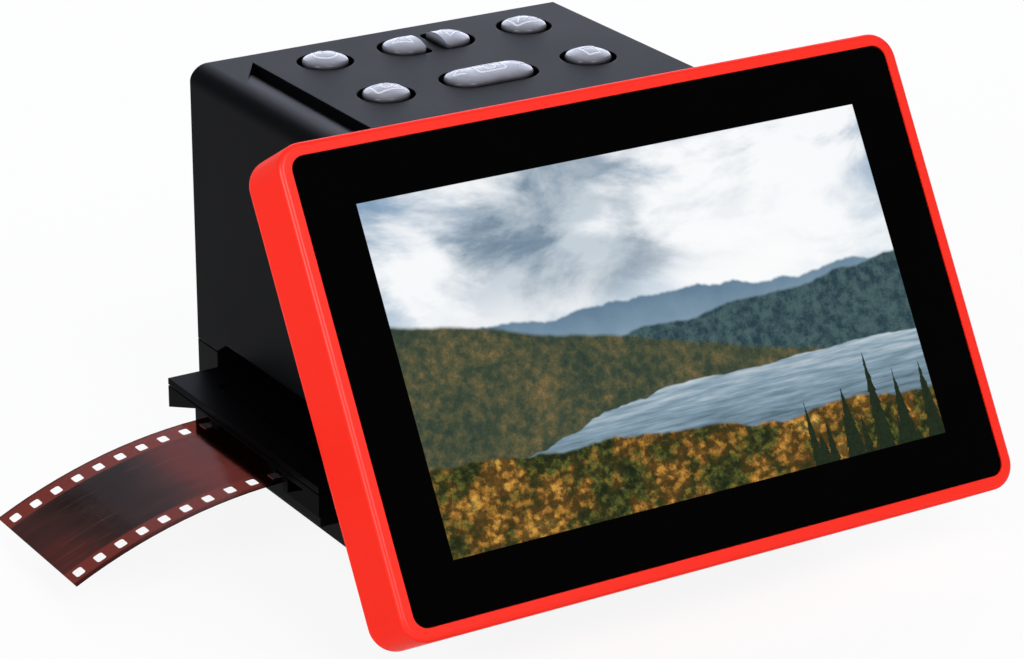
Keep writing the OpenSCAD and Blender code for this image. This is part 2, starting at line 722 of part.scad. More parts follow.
module reflector_box() color([0.95, 0.95, 0.95]) difference() {
    slab(0, film_y, window_w + 5, window_d + 5, light_z + board_t, z_floor - 1 - diffuser_t);
    slab(0, film_y, window_w + 2, window_d + 2, light_z, z_floor);
}
diffuser_t = 1.8;

module diffuser_plate() color([0.97, 0.97, 0.97]) {
    slab(0, film_y, window_w + 5.6, window_d + 5.6, z_floor - 1 - diffuser_t, z_floor - 1 - fit_gap);
    slab(0, film_y, window_w + 1.6, window_d + 1.6, z_floor - 1 - diffuser_t, z_floor - 0.3);
}

module backlight_screws() at_light_screws() translate([0, 0, light_z + board_t]) color("silver") {
    cylinder(r = 1.8, h = 1.2);
    translate([0, 0, -board_t - 2.5]) cylinder(r = screw_r - 0.1, h = board_t + 2.5 + eps);
}

// Two bowed leaf springs that steady the adapter from the front of the slot
module guide_springs() color("silver") for (s = [-1, 1]) translate([s * spring_x, slot_y0, z_floor + spring_up])
    linear_extrude(spring_h) intersection() {
        bow = adapter_y0 - slot_y0 - 0.1;
        r = (spring_half * spring_half + bow * bow) / (2 * bow);
        translate([0, bow - r]) difference() { circle(r, $fn = 720); circle(r - 0.25, $fn = 720); }
        translate([-spring_half, 0]) square([2 * spring_half, bow + 1]);
    }

// Pins of the display hinge
module hinge_pins() color("silver") for (s = [-1, 1]) translate([s * hinge_span / 2, hinge_y, hinge_z])
    rotate([0, 90, 0]) cylinder(r = hinge_pin_r, h = hinge_w - 1, center = true);

// Rubber stops on the sloping front, which the closed display leans on
bumper_x = in_w / 2 - 10;
bumper_down = 44;
module display_bumpers() color([0.08, 0.08, 0.08]) for (s = [-1, 1]) at_display()
    translate([s * bumper_x, -bumper_down, -rest_gap]) cylinder(r = 3, h = rest_gap - 0.15);

// Flat ribbons between the boards
module camera_ribbon() color([0.85, 0.85, 0.8]) {
    bend_y = film_y + camera_d / 2 + 4.5;
    slab(0, bend_y - 2.5, ribbon_w, 5, camera_z + board_t, camera_z + board_t + ribbon_t);
    slab(0, bend_y - ribbon_t / 2, ribbon_w, ribbon_t, camera_z + board_t, main_z);
}

module keypad_ribbon() color([0.85, 0.85, 0.8])
    slab(keys_x, key_y0 - key_hole_r - 2.2, ribbon_w + 2, ribbon_t, main_z + board_t, keypad_z);

// Frame of the display: x across, y up the slope from the deck edge, z out of the back
module at_display() translate([0, y_deck - rest_gap * cos(lean), z_deck + rest_gap * sin(lean)])
    rotate([90 - lean, 0, 0]) children();

// Section swept around the display's outline, drawn from the corner centre outwards
module around(w, h, r) {
    for (s = [-1, 1]) {
        translate([s * (w / 2 - r), 0, 0]) rotate([90, 0, s > 0 ? 0 : 180])
            linear_extrude(h - 2 * r, center = true) children();
        translate([0, s * (h / 2 - r), 0]) rotate([90, 0, s > 0 ? 90 : -90])
            linear_extrude(w - 2 * r, center = true) children();
    }
    for (i = [0:3]) {
        sx = (i == 0 || i == 3) ? 1 : -1;
        sy = i < 2 ? 1 : -1;
        translate([sx * (w / 2 - r), sy * (h / 2 - r), 0]) rotate(90 * i) rotate_extrude(angle = 90) children();
    }
}

// Wall of the frame with round edges and the ledge that carries the glass
module frame_section() {
    difference() {
        translate([disp_r - rim, 0]) square([rim, disp_t]);
        translate([disp_r - frame_front_r, disp_t - frame_front_r]) difference() {
            square(2 * frame_front_r);
            circle(frame_front_r);
        }
        translate([disp_r - frame_back_r, frame_back_r]) mirror([0, 1]) difference() {
            square(2 * frame_back_r);
            circle(frame_back_r);
        }
    }
    translate([disp_r - rim - ledge_t, glass_z - ledge_t]) square([ledge_t + eps, ledge_t]);
}

module display_frame() color([0.9, 0.14, 0.1]) at_display() translate([0, disp_y, 0]) {
    around(disp_w, disp_h, disp_r) frame_section();
    at_display_screws() difference() {
        rod(0, 0, 2.2, back_t + 0.6, glass_z - ledge_t + 0.5);
        rod(0, 0, screw_r - 0.2, back_t, glass_z - ledge_t - 1);
    }
}

// Places of the four display screws, in the corners beside the picture panel
module at_display_screws() for (sx = [-1, 1], sy = [-1, 1])
    translate([sx * (glass_w / 2 - 2.9), sy * (glass_h / 2 - 2.7), 0]) children();

// Back cover of the display with the middle knuckles of the hinge
module display_back() color([0.13, 0.13, 0.15]) at_display() difference() {
    union() {
        translate([0, disp_y, 0.3]) linear_extrude(back_t)
            round_rect(glass_w - 2 * fit_gap, glass_h - 2 * fit_gap, disp_r - rim);
        for (s = [-1, 1]) translate([s * hinge_span / 2, 0, 0]) hinge_arm();
    }
    translate([0, disp_y, 0]) at_display_screws() rod(0, 0, screw_r + fit_gap, -1, back_t + 1);
    translate([0, disp_y, 0]) at_display_screws() rod(0, 0, screw_head_r, -1, 0.3 + 1.2);
    for (s = [-1, 1]) translate([s * hinge_span / 2, axis_v, axis_w]) rotate([0, 90, 0])
        cylinder(r = hinge_pin_r + pin_gap, h = hinge_w, center = true);
}

// Hinge axis seen in the display's own frame
axis_v = hinge_back * sin(lean) + hinge_up * cos(lean);
axis_w = -hinge_back * cos(lean) + hinge_up * sin(lean) - rest_gap;

// Arm that carries a knuckle round the back edge of the frame
module hinge_arm() {
    arm_y = rim_rise - rim - fit_gap;
    translate([0, axis_v, axis_w]) rotate([0, 90, 0]) cylinder(r = knuckle_r, h = hinge_mid_w, center = true);
    across(hinge_mid_w) polygon([[-4, 0.5], [arm_y, 0.5], [arm_y, -0.2], [axis_v + knuckle_r * 0.6, -0.2],
        [axis_v + knuckle_r * 0.9, axis_w], [axis_v - knuckle_r * 0.9, axis_w],
        [axis_v - knuckle_r - 0.9, -rest_gap + 0.35], [-4, -rest_gap + 0.35]]);
}

module cover_glass() color([0.03, 0.03, 0.03]) at_display() translate([0, disp_y, glass_z])
    linear_extrude(glass_t) round_rect(glass_w - 2 * fit_gap, glass_h - 2 * fit_gap, disp_r - rim - fit_gap);

module lcd_panel() color([0.3, 0.32, 0.36]) at_display() translate([0, disp_y, glass_z - fit_gap - lcd_t])
    linear_extrude(lcd_t) square([panel_w, panel_h], center = true);

module lcd_backlight() color("silver") at_display()
    translate([0, disp_y, glass_z - fit_gap - lcd_t - lcd_light_t])
        linear_extrude(lcd_light_t - eps) square([panel_w - 2, panel_h - 2], center = true);

module display_board() color([0.05, 0.3, 0.15]) at_display() translate([0, disp_y, back_t + 1.8])
    linear_extrude(board_t) square([panel_w - 2 * board_in, panel_h - 2 * board_in], center = true);

module display_board_chips() color([0.08, 0.08, 0.09]) at_display()
    translate([0, disp_y, back_t + 1.8 + board_t]) for (i = [-1:1])
        translate([i * panel_w / 4, 0, 0]) linear_extrude(1.1) square(chip_w - 2, center = true);

module display_screws() color("silver") at_display() translate([0, disp_y, 0]) at_display_screws() {
    rod(0, 0, screw_head_r - 0.2, 0.4, 1.4);
    rod(0, 0, screw_r - 0.25, 1, 6.5);
}

// Section of half a key: skirt, domed top and the round between them, about its own middle line
module key_section(r) {
    z0 = flange_z1 - flange_t;
    top = z_deck + key_rise + key_crown;
    dome_r = (r * r + key_crown * key_crown) / (2 * key_crown);
    dome_z = top - dome_r;
    turn = asin((r - key_edge_r) / (dome_r - key_edge_r));
    round_z = dome_z + (dome_r - key_edge_r) * cos(turn);
    translate([0, z0]) square([r, round_z - z0]);
    translate([r - key_edge_r, round_z]) circle(key_edge_r);
    intersection() {
        polygon([[0, round_z], [r - key_edge_r, round_z],
            [dome_r * sin(turn), dome_z + dome_r * cos(turn)], [dome_r * sin(turn), top + 1], [0, top + 1]]);
        translate([0, dome_z]) circle(dome_r, $fn = 360);
    }
}

// Long key body: the same section swept straight and turned at both ends
module long_key(len, r) {
    for (s = [-1, 1]) translate([s * (len / 2 - r), 0, 0]) rotate_extrude() key_section(r);
    across(len - 2 * r) {
        key_section(r);
        mirror([1, 0]) key_section(r);
    }
    translate([0, 0, flange_z1 - flange_t]) linear_extrude(flange_t)
        stadium(len + 2 * (key_gap + flange_out), r + key_gap + flange_out);
}

module round_key(x, y) color([0.5, 0.5, 0.53]) translate([x, y, 0]) {
    rotate_extrude() key_section(cap_r);
    rod(0, 0, key_hole_r + flange_out, flange_z1 - flange_t, flange_z1);
    rod(0, 0, 2, stem_z, flange_z1);
}

module half_key(side) color([0.5, 0.5, 0.53]) translate([keys_x, key_y1, 0]) {
    intersection() {
        long_key(pill_len - 2 * key_gap, cap_r);
        union() {
            translate([side * (key_web / 2 + key_gap + big / 2), 0, flange_z1 - big / 2]) cube(big, center = true);
            linear_extrude(big) half_stadium(side, key_web / 2 + key_gap, pill_len - 2 * key_gap,
                cap_r, key_corner);
        }
    }
    rod(side * half_key_x, 0, 2, stem_z, flange_z1);
}

module power_key() round_key(keys_x - key_pitch_x, key_y1);
module gallery_key() round_key(keys_x + key_pitch_x, key_y1);
module mode_key() round_key(keys_x - key_pitch_x, key_y0);
module delete_key() round_key(keys_x + key_pitch_x, key_y0);
module left_key() half_key(-1);
module right_key() half_key(1);

module capture_key() color([0.5, 0.5, 0.53]) translate([keys_x, key_y0, 0]) {
    long_key(pill_len - 2 * key_gap, cap_r);
    rod(0, 0, 2, stem_z, flange_z1);
}

// Side view of the tray's end, where the film leaves: mouth with a slanted back cheek
module mouth_view() polygon([[film_y - channel_w / 2, adapter_z - 1], [adapter_y1 + 1, adapter_z - 1],
    [adapter_y1, adapter_z], [adapter_y1 - cheek_run, adapter_z + cheek_rise - 0.2],
    [film_y - channel_w / 2, tray_z1 - bridge_t]]);

// Tray of the adapter: two rails, a floor with the window, end bridges and hinge ears
module adapter_tray() color([0.1, 0.1, 0.11]) difference() {
    union() {
        difference() {
            translate([-adapter_len / 2, adapter_y0, adapter_z]) cube([adapter_len, adapter_w, tray_t]);
            slab(0, film_y, adapter_len - 2 * bridge_w, channel_w, adapter_z - 1, tray_z1 + 1);
            for (s = [-1, 1]) translate([s * (adapter_len / 2 - mouth_in / 2 + 1), 0, 0])
                across(mouth_in + 2) mouth_view();
            for (s = [-1, 1]) translate([s * lid_hinge_x, lid_axis_y, lid_axis_z])
                slab(0, 0.3, lid_hinge_w + 2 * hinge_play, 3.8, -lid_knuckle_r - hinge_play, 5);
        }
        slab(0, film_y, 2 * tray_floor_x, channel_w + 1, adapter_z, adapter_z + tray_floor);
        at_lid_ears() lid_ear();
        for (s = [-1, 1], y = [film_y - channel_w / 2 + 4, film_y + channel_w / 2 - 8])
            slab(s * (adapter_len / 2 - bridge_w / 2), y, bridge_w, 3, tray_z1 - bridge_t - 1.2, tray_z1 - eps);
    }
    slab(0, film_y, window_w, window_d, adapter_z - 1, adapter_z + tray_floor + 1);
    for (s = [-1, 1]) translate([s * (adapter_len / 2 - 1), 0, 0]) across(4)
        polygon([[notch_y, tray_z1 - 1.1], [notch_y - 6.4, tray_z1 - 1.1], [notch_y, adapter_z + 0.5]]);
    at_magnets() rod(0, 0, magnet_r + fit_gap, tray_z1 - magnet_t - 0.1, tray_z1 + 1);
    for (s = [-1, 1]) translate([s * lid_hinge_x, lid_axis_y, lid_axis_z]) rotate([0, 90, 0])
        cylinder(r = lid_pin_r, h = lid_hinge_w + 1, center = true);
}
notch_y = film_y - channel_w / 2 - 2.2;

// Outer ears of the two lid hinges
module at_lid_ears() for (sx = [-1, 1], s = [-1, 1])
    translate([sx * lid_hinge_x + s * (lid_hinge_w - lid_ear_w) / 2, lid_axis_y, lid_axis_z]) children();

module lid_ear() {
    rotate([0, 90, 0]) cylinder(r = lid_knuckle_r, h = lid_ear_w, center = true);
    slab(0, 0, lid_ear_w, 2 * lid_knuckle_r, -lid_knuckle_r - 1, -lid_knuckle_r / 2);
}

// Magnets that hold the lid shut
magnet_r = 2;
magnet_t = 1.2;
module at_magnets() for (s = [-1, 1])
    translate([s * (adapter_len / 2 - 10), (adapter_y0 + film_y - channel_w / 2) / 2, 0]) children();

module tray_magnets() color("silver") at_magnets()
    rod(0, 0, magnet_r, tray_z1 - magnet_t, tray_z1);

module lid_pins() color("silver") for (s = [-1, 1]) translate([s * lid_hinge_x, lid_axis_y, lid_axis_z])
    rotate([0, 90, 0]) cylinder(r = lid_pin_r, h = lid_hinge_w - 0.4, center = true);

// Lid of the adapter: plate with the window, press ribs, magnet bosses and knuckles
module adapter_lid() color([0.1, 0.1, 0.11]) difference() {
    union() {
        difference() {
            translate([-adapter_len / 2, adapter_y0, lid_z0]) cube([adapter_len, adapter_w, lid_t]);
            at_lid_ears() slab(0, 0.6, lid_ear_w + 2 * hinge_play, 4.4, -3, 5);
            slab(0, film_y, lid_recess_w, lid_recess_d, lid_z1 - 0.4, lid_z1 + 1);
        }
        for (s = [-1, 1]) translate([s * lid_hinge_x, lid_axis_y, lid_axis_z]) {
            rotate([0, 90, 0]) cylinder(r = lid_knuckle_r, h = lid_mid_w, center = true);
            slab(0, -lid_knuckle_r, lid_mid_w, 2 * lid_knuckle_r, 0.2, lid_z1 - lid_axis_z - 0.1);
        }
        for (s = [-1, 1]) slab(0, film_y + s * (film_w / 2 - 2), lid_rib_len, 2.4,
            film_z + film_t / 2 + 0.2, lid_z0 + eps);
    }
    slab(0, film_y, window_w, window_d, lid_z0 - 1, lid_z1 + 1);
    at_magnets() rod(0, 0, magnet_r + fit_gap, lid_z0 - 1, lid_z0 + 0.7);
    rod(0, adapter_y0, 5, lid_z0 - 1, lid_z1 + 1);
    for (s = [-1, 1]) translate([s * lid_hinge_x, lid_axis_y, lid_axis_z]) rotate([0, 90, 0])
        cylinder(r = lid_pin_r + pin_gap, h = lid_hinge_w + 1, center = true);
}
lid_recess_w = adapter_len - 13.2;
lid_recess_d = window_d + 18;

module lid_magnets() color("silver") at_magnets() rod(0, 0, magnet_r, lid_z0, lid_z0 + 0.65);

// Film strip: flat through the adapter, curling down towards its free end
film_bend = asin((film_reach - film_flat) / film_curl_r);
film_arc = film_curl_r * film_bend * PI / 180;
film_len = film_arc + film_flat + film_right;
perf_n = floor((film_len - 2) / perf_pitch);
perf_in = 3.4;
perf_corner = 0.5;

// Moves a drawing to the distance s along the strip from its free end
module on_film(s) if (s < film_arc)
    translate([-film_flat, film_y, film_z - film_curl_r]) rotate([0, -(film_arc - s) / film_curl_r * 180 / PI, 0])
        translate([0, 0, film_curl_r]) children();
    else translate([s - film_arc - film_flat, film_y, film_z]) children();

module film_strip() color([0.42, 0.16, 0.12]) difference() {
    translate([0, film_y, 0]) across_film() {
        translate([-film_flat, film_z - film_t / 2]) square([film_flat + film_right, film_t]);
        translate([-film_flat, film_z - film_curl_r]) intersection() {
            difference() {
                circle(film_curl_r + film_t / 2, $fn = 1440);
                circle(film_curl_r - film_t / 2, $fn = 1440);
            }
            polygon([[0, 0], [eps, 0], [eps, film_curl_r + 5],
                [-(film_curl_r + 5) * tan(film_bend), film_curl_r + 5]]);
        }
    }
    for (i = [0:perf_n - 1], s = [-1, 1]) on_film(perf_pitch * (i + 0.5))
        translate([0, s * (film_w / 2 - perf_in), -1]) linear_extrude(2) round_rect(1.98, 2.8, perf_corner);
}

// Extrudes an X-Z drawing over the film's width
module across_film() rotate([90, 0, 0]) linear_extrude(film_w, center = true) children();

base_housing();
upper_housing();
bottom_plate();
rubber_feet();
case_screws();
slot_roof();
roof_screws();
lens_hood();
lens_mount();
lens_barrel();
lens_glass();
camera_board();
image_sensor();
camera_screws();
main_board();
main_board_chips();
main_board_screws();
usb_socket();
hdmi_socket();
card_socket();
keypad_board();
key_switches();
keypad_screws();
backlight_board();
backlight_leds();
reflector_box();
diffuser_plate();
backlight_screws();
guide_springs();
hinge_pins();
display_bumpers();
camera_ribbon();
keypad_ribbon();
display_frame();
display_back();
cover_glass();
lcd_panel();
lcd_backlight();
display_board();
display_board_chips();
display_screws();
power_key();
left_key();
right_key();
gallery_key();
mode_key();
capture_key();
delete_key();
adapter_tray();
tray_magnets();
lid_pins();
adapter_lid();
lid_magnets();
film_strip();
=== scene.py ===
"""Finish, key marks and studio for a desktop film scanner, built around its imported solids."""

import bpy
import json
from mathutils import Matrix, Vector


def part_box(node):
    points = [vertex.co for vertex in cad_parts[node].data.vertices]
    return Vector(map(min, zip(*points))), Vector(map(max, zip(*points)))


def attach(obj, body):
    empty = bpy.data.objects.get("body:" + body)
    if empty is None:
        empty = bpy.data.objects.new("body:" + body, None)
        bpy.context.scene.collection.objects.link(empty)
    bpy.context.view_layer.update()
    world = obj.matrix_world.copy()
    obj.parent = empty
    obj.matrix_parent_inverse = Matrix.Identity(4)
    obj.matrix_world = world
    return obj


bl_info = {
    "name": "Film Scanner Finish",
    "version": (1, 0, 0),
    "blender": (4, 5, 0),
    "location": "View3D > Sidebar > Scanner",
    "description": "Paints a desktop film scanner, adds its key marks and lights it",
    "category": "Object",
}

import json
import math

import bpy
import numpy as np
from mathutils import Matrix, Vector

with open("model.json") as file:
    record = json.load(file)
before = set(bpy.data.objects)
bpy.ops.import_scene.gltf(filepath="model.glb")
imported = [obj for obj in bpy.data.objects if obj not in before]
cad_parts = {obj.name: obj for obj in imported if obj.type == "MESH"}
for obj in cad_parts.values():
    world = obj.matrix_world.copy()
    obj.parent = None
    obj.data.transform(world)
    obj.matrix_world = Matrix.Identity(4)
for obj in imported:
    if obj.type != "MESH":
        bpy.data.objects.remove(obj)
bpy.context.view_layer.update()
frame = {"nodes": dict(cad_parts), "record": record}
NODES = frame["nodes"]

MM = 0.001
WHITE = (1.0, 1.0, 1.0)

# The display leans back. These run across it, up its slope and out of its glass.
LEAN = math.radians(30.6)
ACROSS = (1.0, 0.0, 0.0)
UPSLOPE = (0.0, math.sin(LEAN), math.cos(LEAN))
OUTWARD = (0.0, -math.cos(LEAN), math.sin(LEAN))

# Sizes of the solids in millimetres. A key cap of radius r bulges by its crown c, so that its dome
# has the radius (r^2 + c^2) / 2c. A long hole has round ends and holds one long key or two halves.
PICTURE_W = 108.0
PICTURE_H = 64.8
DECK_Z = 81.3
KEY_HOLE_R = 5.7
KEY_CAP_R = 4.65
KEY_CROWN = 1.3
KEY_DOME_R = (KEY_CAP_R * KEY_CAP_R + KEY_CROWN * KEY_CROWN) / (2.0 * KEY_CROWN)
LONG_HOLE = 21.1
LONG_KEYS = ("left_key", "right_key", "capture_key")

# Where the marks of the two half keys lie along their shared dome, in millimetres.
HALF_MARKS = {"left_key": -5.3, "right_key": 5.3}


def linear(red, green, blue):
    """Linear colour of an 8 bit screen colour."""
    def part(value):
        value = value / 255.0
        return value / 12.92 if value <= 0.04045 else ((value + 0.055) / 1.055) ** 2.4
    return (part(red), part(green), part(blue))


def nodes_in(*slots):
    """CAD nodes that the record gives one of these material slots."""
    rows = frame["record"]["subparts"]
    return [NODES[row["node"]] for row in rows if row["material_slot"] in slots]


# ---------------------------------------------------------------- shader maths

class Wire:
    """An output socket on which Python's operators add Math nodes."""

    def __init__(self, nodes, socket):
        self.nodes = nodes
        self.socket = socket

    def math(self, operation, *others):
        return self.nodes.one("ShaderNodeMath", {"operation": operation}, [self, *others])

    def __add__(self, other):
        return self.math("ADD", other)

    def __sub__(self, other):
        return self.math("SUBTRACT", other)

    def __rsub__(self, other):
        return self.nodes.one("ShaderNodeMath", {"operation": "SUBTRACT"}, [other, self])

    def __mul__(self, other):
        return self.math("MULTIPLY", other)

    def __truediv__(self, other):
        return self.math("DIVIDE", other)

    __radd__ = __add__
    __rmul__ = __mul__

    def size(self):
        """The value without its sign."""
        return self.math("ABSOLUTE")

    def least(self, other):
        """The smaller of the two."""
        return self.math("MINIMUM", other)

    def most(self, other):
        """The larger of the two."""
        return self.math("MAXIMUM", other)

    def part(self):
        """What is left above the next whole number down."""
        return self.math("FRACT")

    def whole(self):
        """The next whole number down."""
        return self.math("FLOOR")

    def rise(self, low, high):
        """0 below low, 1 above high and a smooth step between."""
        return self.nodes.one(
            "ShaderNodeMapRange",
            {"interpolation_type": "SMOOTHSTEP"},
            {"Value": self, "From Min": low, "From Max": high},
            "Result",
        )


class Nodes:
    """A shader's node tree, built node by node."""

    def __init__(self, tree):
        self.tree = tree
        tree.nodes.clear()

    def node(self, kind, settings, inputs):
        """Add a node, first its settings and then the values or wires of its sockets."""
        made = self.tree.nodes.new(kind)
        for key, value in settings.items():
            if key == "stops":
                self.ramp(made.color_ramp, value)
            else:
                setattr(made, key, value)
        pairs = inputs.items() if isinstance(inputs, dict) else enumerate(inputs)
        for key, value in pairs:
            if value is not None:
                self.feed(made.inputs[key], value)
        return made

    def ramp(self, ramp, stops):
        """Give a colour ramp its stops, each a place and a colour."""
        while len(ramp.elements) < len(stops):
            ramp.elements.new(1.0)
        for element, (place, colour) in zip(ramp.elements, stops):
            element.position = place
            element.color = (*colour, 1.0)

    def feed(self, socket, value):
        """Link a wire to an input socket, or set the socket's own value."""
        if isinstance(value, Wire):
            self.tree.links.new(value.socket, socket)
        elif socket.type == "RGBA" and len(value) == 3:
            socket.default_value = (*value, 1.0)
        else:
            socket.default_value = value

    def one(self, kind, settings, inputs, output=0):
        """The wire from one output of a new node."""
        return Wire(self, self.node(kind, settings, inputs).outputs[output])

    def rays(self):
        """Wires that are 1 for camera rays, for glossy rays and for transmission rays."""
        made = self.node("ShaderNodeLightPath", {}, {})
        names = ("Is Camera Ray", "Is Glossy Ray", "Is Transmission Ray")
        return [Wire(self, made.outputs[name]) for name in names]


class Paint(Nodes):
    """A material with one main shader."""

    def __init__(self, name, **constants):
        self.material = bpy.data.materials.new(name)
        self.material.use_nodes = True
        super().__init__(self.material.node_tree)
        self.shader = self.node("ShaderNodeBsdfPrincipled", {}, {})
        self.set(**constants)
        surface = Wire(self, self.shader.outputs[0])
        self.out = self.node("ShaderNodeOutputMaterial", {}, {"Surface": surface})
        at = self.one("ShaderNodeTexCoord", {}, {}, "Object")
        self.place = self.vector("SCALE", at, scale=1.0 / MM)

    def vector(self, operation, *vectors, scale=None):
        """Vector maths, with a number as the result where the operation gives one."""
        inputs = {**dict(enumerate(vectors)), "Scale": scale}
        output = "Value" if operation in ("DOT_PRODUCT", "DISTANCE") else "Vector"
        return self.one("ShaderNodeVectorMath", {"operation": operation}, inputs, output)

    def axes(self):
        """The three coordinates of the surface point, in millimetres."""
        made = self.node("ShaderNodeSeparateXYZ", {}, [self.place])
        return [Wire(self, made.outputs[i]) for i in range(3)]

    def along(self, direction, origin):
        """Distance of the surface point from origin along a direction, in millimetres."""
        return self.vector("DOT_PRODUCT", self.vector("SUBTRACT", self.place, origin), direction)

    def join(self, x, y, z=0.0):
        """A vector from three numbers."""
        return self.one("ShaderNodeCombineXYZ", {}, [x, y, z])

    def noise(self, where, scale, detail=2.0, roughness=0.5, distortion=0.0):
        """Cloudy noise between 0 and 1."""
        return self.one(
            "ShaderNodeTexNoise",
            {"noise_dimensions": "3D"},
            {"Vector": where, "Scale": scale, "Detail": detail,
             "Roughness": roughness, "Distortion": distortion},
        )

    def cells(self, where, scale, output="Distance", feature="F1"):
        """Irregular cells round scattered points."""
        return self.one(
            "ShaderNodeTexVoronoi", {"feature": feature}, {"Vector": where, "Scale": scale}, output
        )

    def mix(self, factor, first, second):
        """The first colour where factor is 0 and the second where it is 1."""
        made = self.node("ShaderNodeMix", {"data_type": "RGBA"}, {0: factor})
        self.feed(made.inputs[6], first)
        self.feed(made.inputs[7], second)
        return Wire(self, made.outputs[2])

    def ramped(self, value, stops):
        """The colour that a ramp of stops gives a value."""
        return self.one("ShaderNodeValToRGB", {"stops": stops}, [value], "Color")

    def soft_edge(self, radius):
        """Surface normal that is rounded over the sharp edges, radius in millimetres."""
        return self.one("ShaderNodeBevel", {"samples": 6}, {"Radius": radius * MM}, "Normal")

    def relief(self, height, depth, normal=None):
        """Bump of a given depth in millimetres, over an optional normal."""
        return self.one(
            "ShaderNodeBump", {},
            {"Strength": 1.0, "Distance": depth * MM, "Height": height, "Normal": normal},
            "Normal",
        )

    def set(self, **inputs):
        """Give the main shader's inputs their values or wires."""
        for key, value in inputs.items():
            self.feed(self.shader.inputs[key.replace("_", " ")], value)

    def on(self, *objects):
        """Give the material to these objects."""
        for thing in objects:
            thing.data.materials.clear()
            thing.data.materials.append(self.material)


def moulded(name, colour, gloss, grain, depth, level, edge=0.0, cloud=0.06):
    """Moulded plastic: fine spark-eroded grain, a slow change of tone and softened edges.

    gloss is the roughness, grain the size and depth the height of the grain, level the strength
    of the reflection, edge the radius of the edges and cloud the share by which the tone changes.
    Lengths are in millimetres.
    """
    paint = Paint(name, Specular_IOR_Level=level, IOR=1.5)
    slow = paint.noise(paint.place, 0.035, 3.0, 0.55)
    fine = paint.noise(paint.place, 1.0 / grain, 2.0, 0.6)
    darker = tuple(part * (1.0 - cloud) for part in colour)
    lighter = tuple(part * (1.0 + cloud) for part in colour)
    paint.set(
        Base_Color=paint.mix(slow * 0.6 + fine * 0.4, darker, lighter),
        Roughness=gloss + (slow - 0.5) * 0.10 + (fine - 0.5) * 0.06,
        Normal=paint.relief(fine, depth, paint.soft_edge(edge) if edge else None),
    )
    return paint


# ---------------------------------------------------------------- settings

class ScannerColours(bpy.types.PropertyGroup):
    """Colours of the scanner's parts"""
    shell: bpy.props.FloatVectorProperty(
        name="Shell", description="Colour of the housing", size=3, subtype="COLOR",
        default=linear(9, 10, 13), min=0.0, max=1.0)
    adapter: bpy.props.FloatVectorProperty(
        name="Adapter", description="Colour of the film adapter", size=3, subtype="COLOR",
        default=linear(6, 6, 8), min=0.0, max=1.0)
    bezel: bpy.props.FloatVectorProperty(
        name="Display frame", description="Colour of the display frame", size=3, subtype="COLOR",
        default=linear(253, 42, 25), min=0.0, max=1.0)
    keys: bpy.props.FloatVectorProperty(
        name="Keys", description="Colour of the key caps", size=3, subtype="COLOR",
        default=linear(146, 150, 162), min=0.0, max=1.0)
    marks: bpy.props.FloatVectorProperty(
        name="Key marks", description="Colour of the raised marks", size=3, subtype="COLOR",
        default=linear(214, 216, 228), min=0.0, max=1.0)
    film: bpy.props.FloatVectorProperty(
        name="Film base", description="Colour of the clear film base", size=3, subtype="COLOR",
        default=linear(118, 54, 48), min=0.0, max=1.0)


class ScannerMarks(bpy.types.PropertyGroup):
    """Lines of the marks on the keys"""
    stroke: bpy.props.FloatProperty(
        name="Stroke width", description="Width of a raised line", unit="LENGTH",
        default=0.45 * MM, min=0.1 * MM, max=1.0 * MM)
    raised: bpy.props.FloatProperty(
        name="Stroke height", description="Height of a raised line", unit="LENGTH",
        default=0.08 * MM, min=0.02 * MM, max=0.3 * MM)
    scale: bpy.props.FloatProperty(
        name="Mark scale", description="Size of the marks", default=1.15, min=0.6, max=1.3)


class ScannerStage(bpy.types.PropertyGroup):
    """Camera, lamps and room light"""
    lens: bpy.props.FloatProperty(
        name="Lens", description="Focal length of the camera", unit="CAMERA",
        default=128.35, min=50.0, max=300.0)
    turn: bpy.props.FloatProperty(
        name="Turn", description="Angle of the camera round the scanner", subtype="ANGLE",
        default=math.radians(31.62), min=-math.pi, max=math.pi)
    pitch: bpy.props.FloatProperty(
        name="Pitch", description="Angle of the camera above the table", subtype="ANGLE",
        default=math.radians(21.77), min=0.0, max=math.pi / 2)
    place: bpy.props.FloatVectorProperty(
        name="Camera place", description="Where the camera stands", size=3, subtype="TRANSLATION",
        default=(-0.34731153, -0.56801191, 0.29921245))
    lamps: bpy.props.FloatProperty(
        name="Lamps", description="Strength of all the lamps", default=1.0, min=0.0, max=4.0)
    room: bpy.props.FloatProperty(
        name="Room light", description="Strength of the even light of the room",
        default=0.30, min=0.0, max=2.0)
    mirrored: bpy.props.FloatProperty(
        name="Room in reflections", description="How much of the white background a gloss shows",
        default=0.15, min=0.0, max=1.0)


# ---------------------------------------------------------------- surfaces

def six_volumes(points, faces):
    """Six times the volume inside the faces, positive if their corners turn outwards.

    Each face is cut into triangles a, b, c from its first corner, and a . (b x c) is summed.
    """
    first = points[faces[:, 0]]
    total = 0.0
    for i in range(1, faces.shape[1] - 1):
        crossed = np.cross(points[faces[:, i]], points[faces[:, i + 1]])
        total += np.einsum("ij,ij->i", first, crossed).sum()
    return total


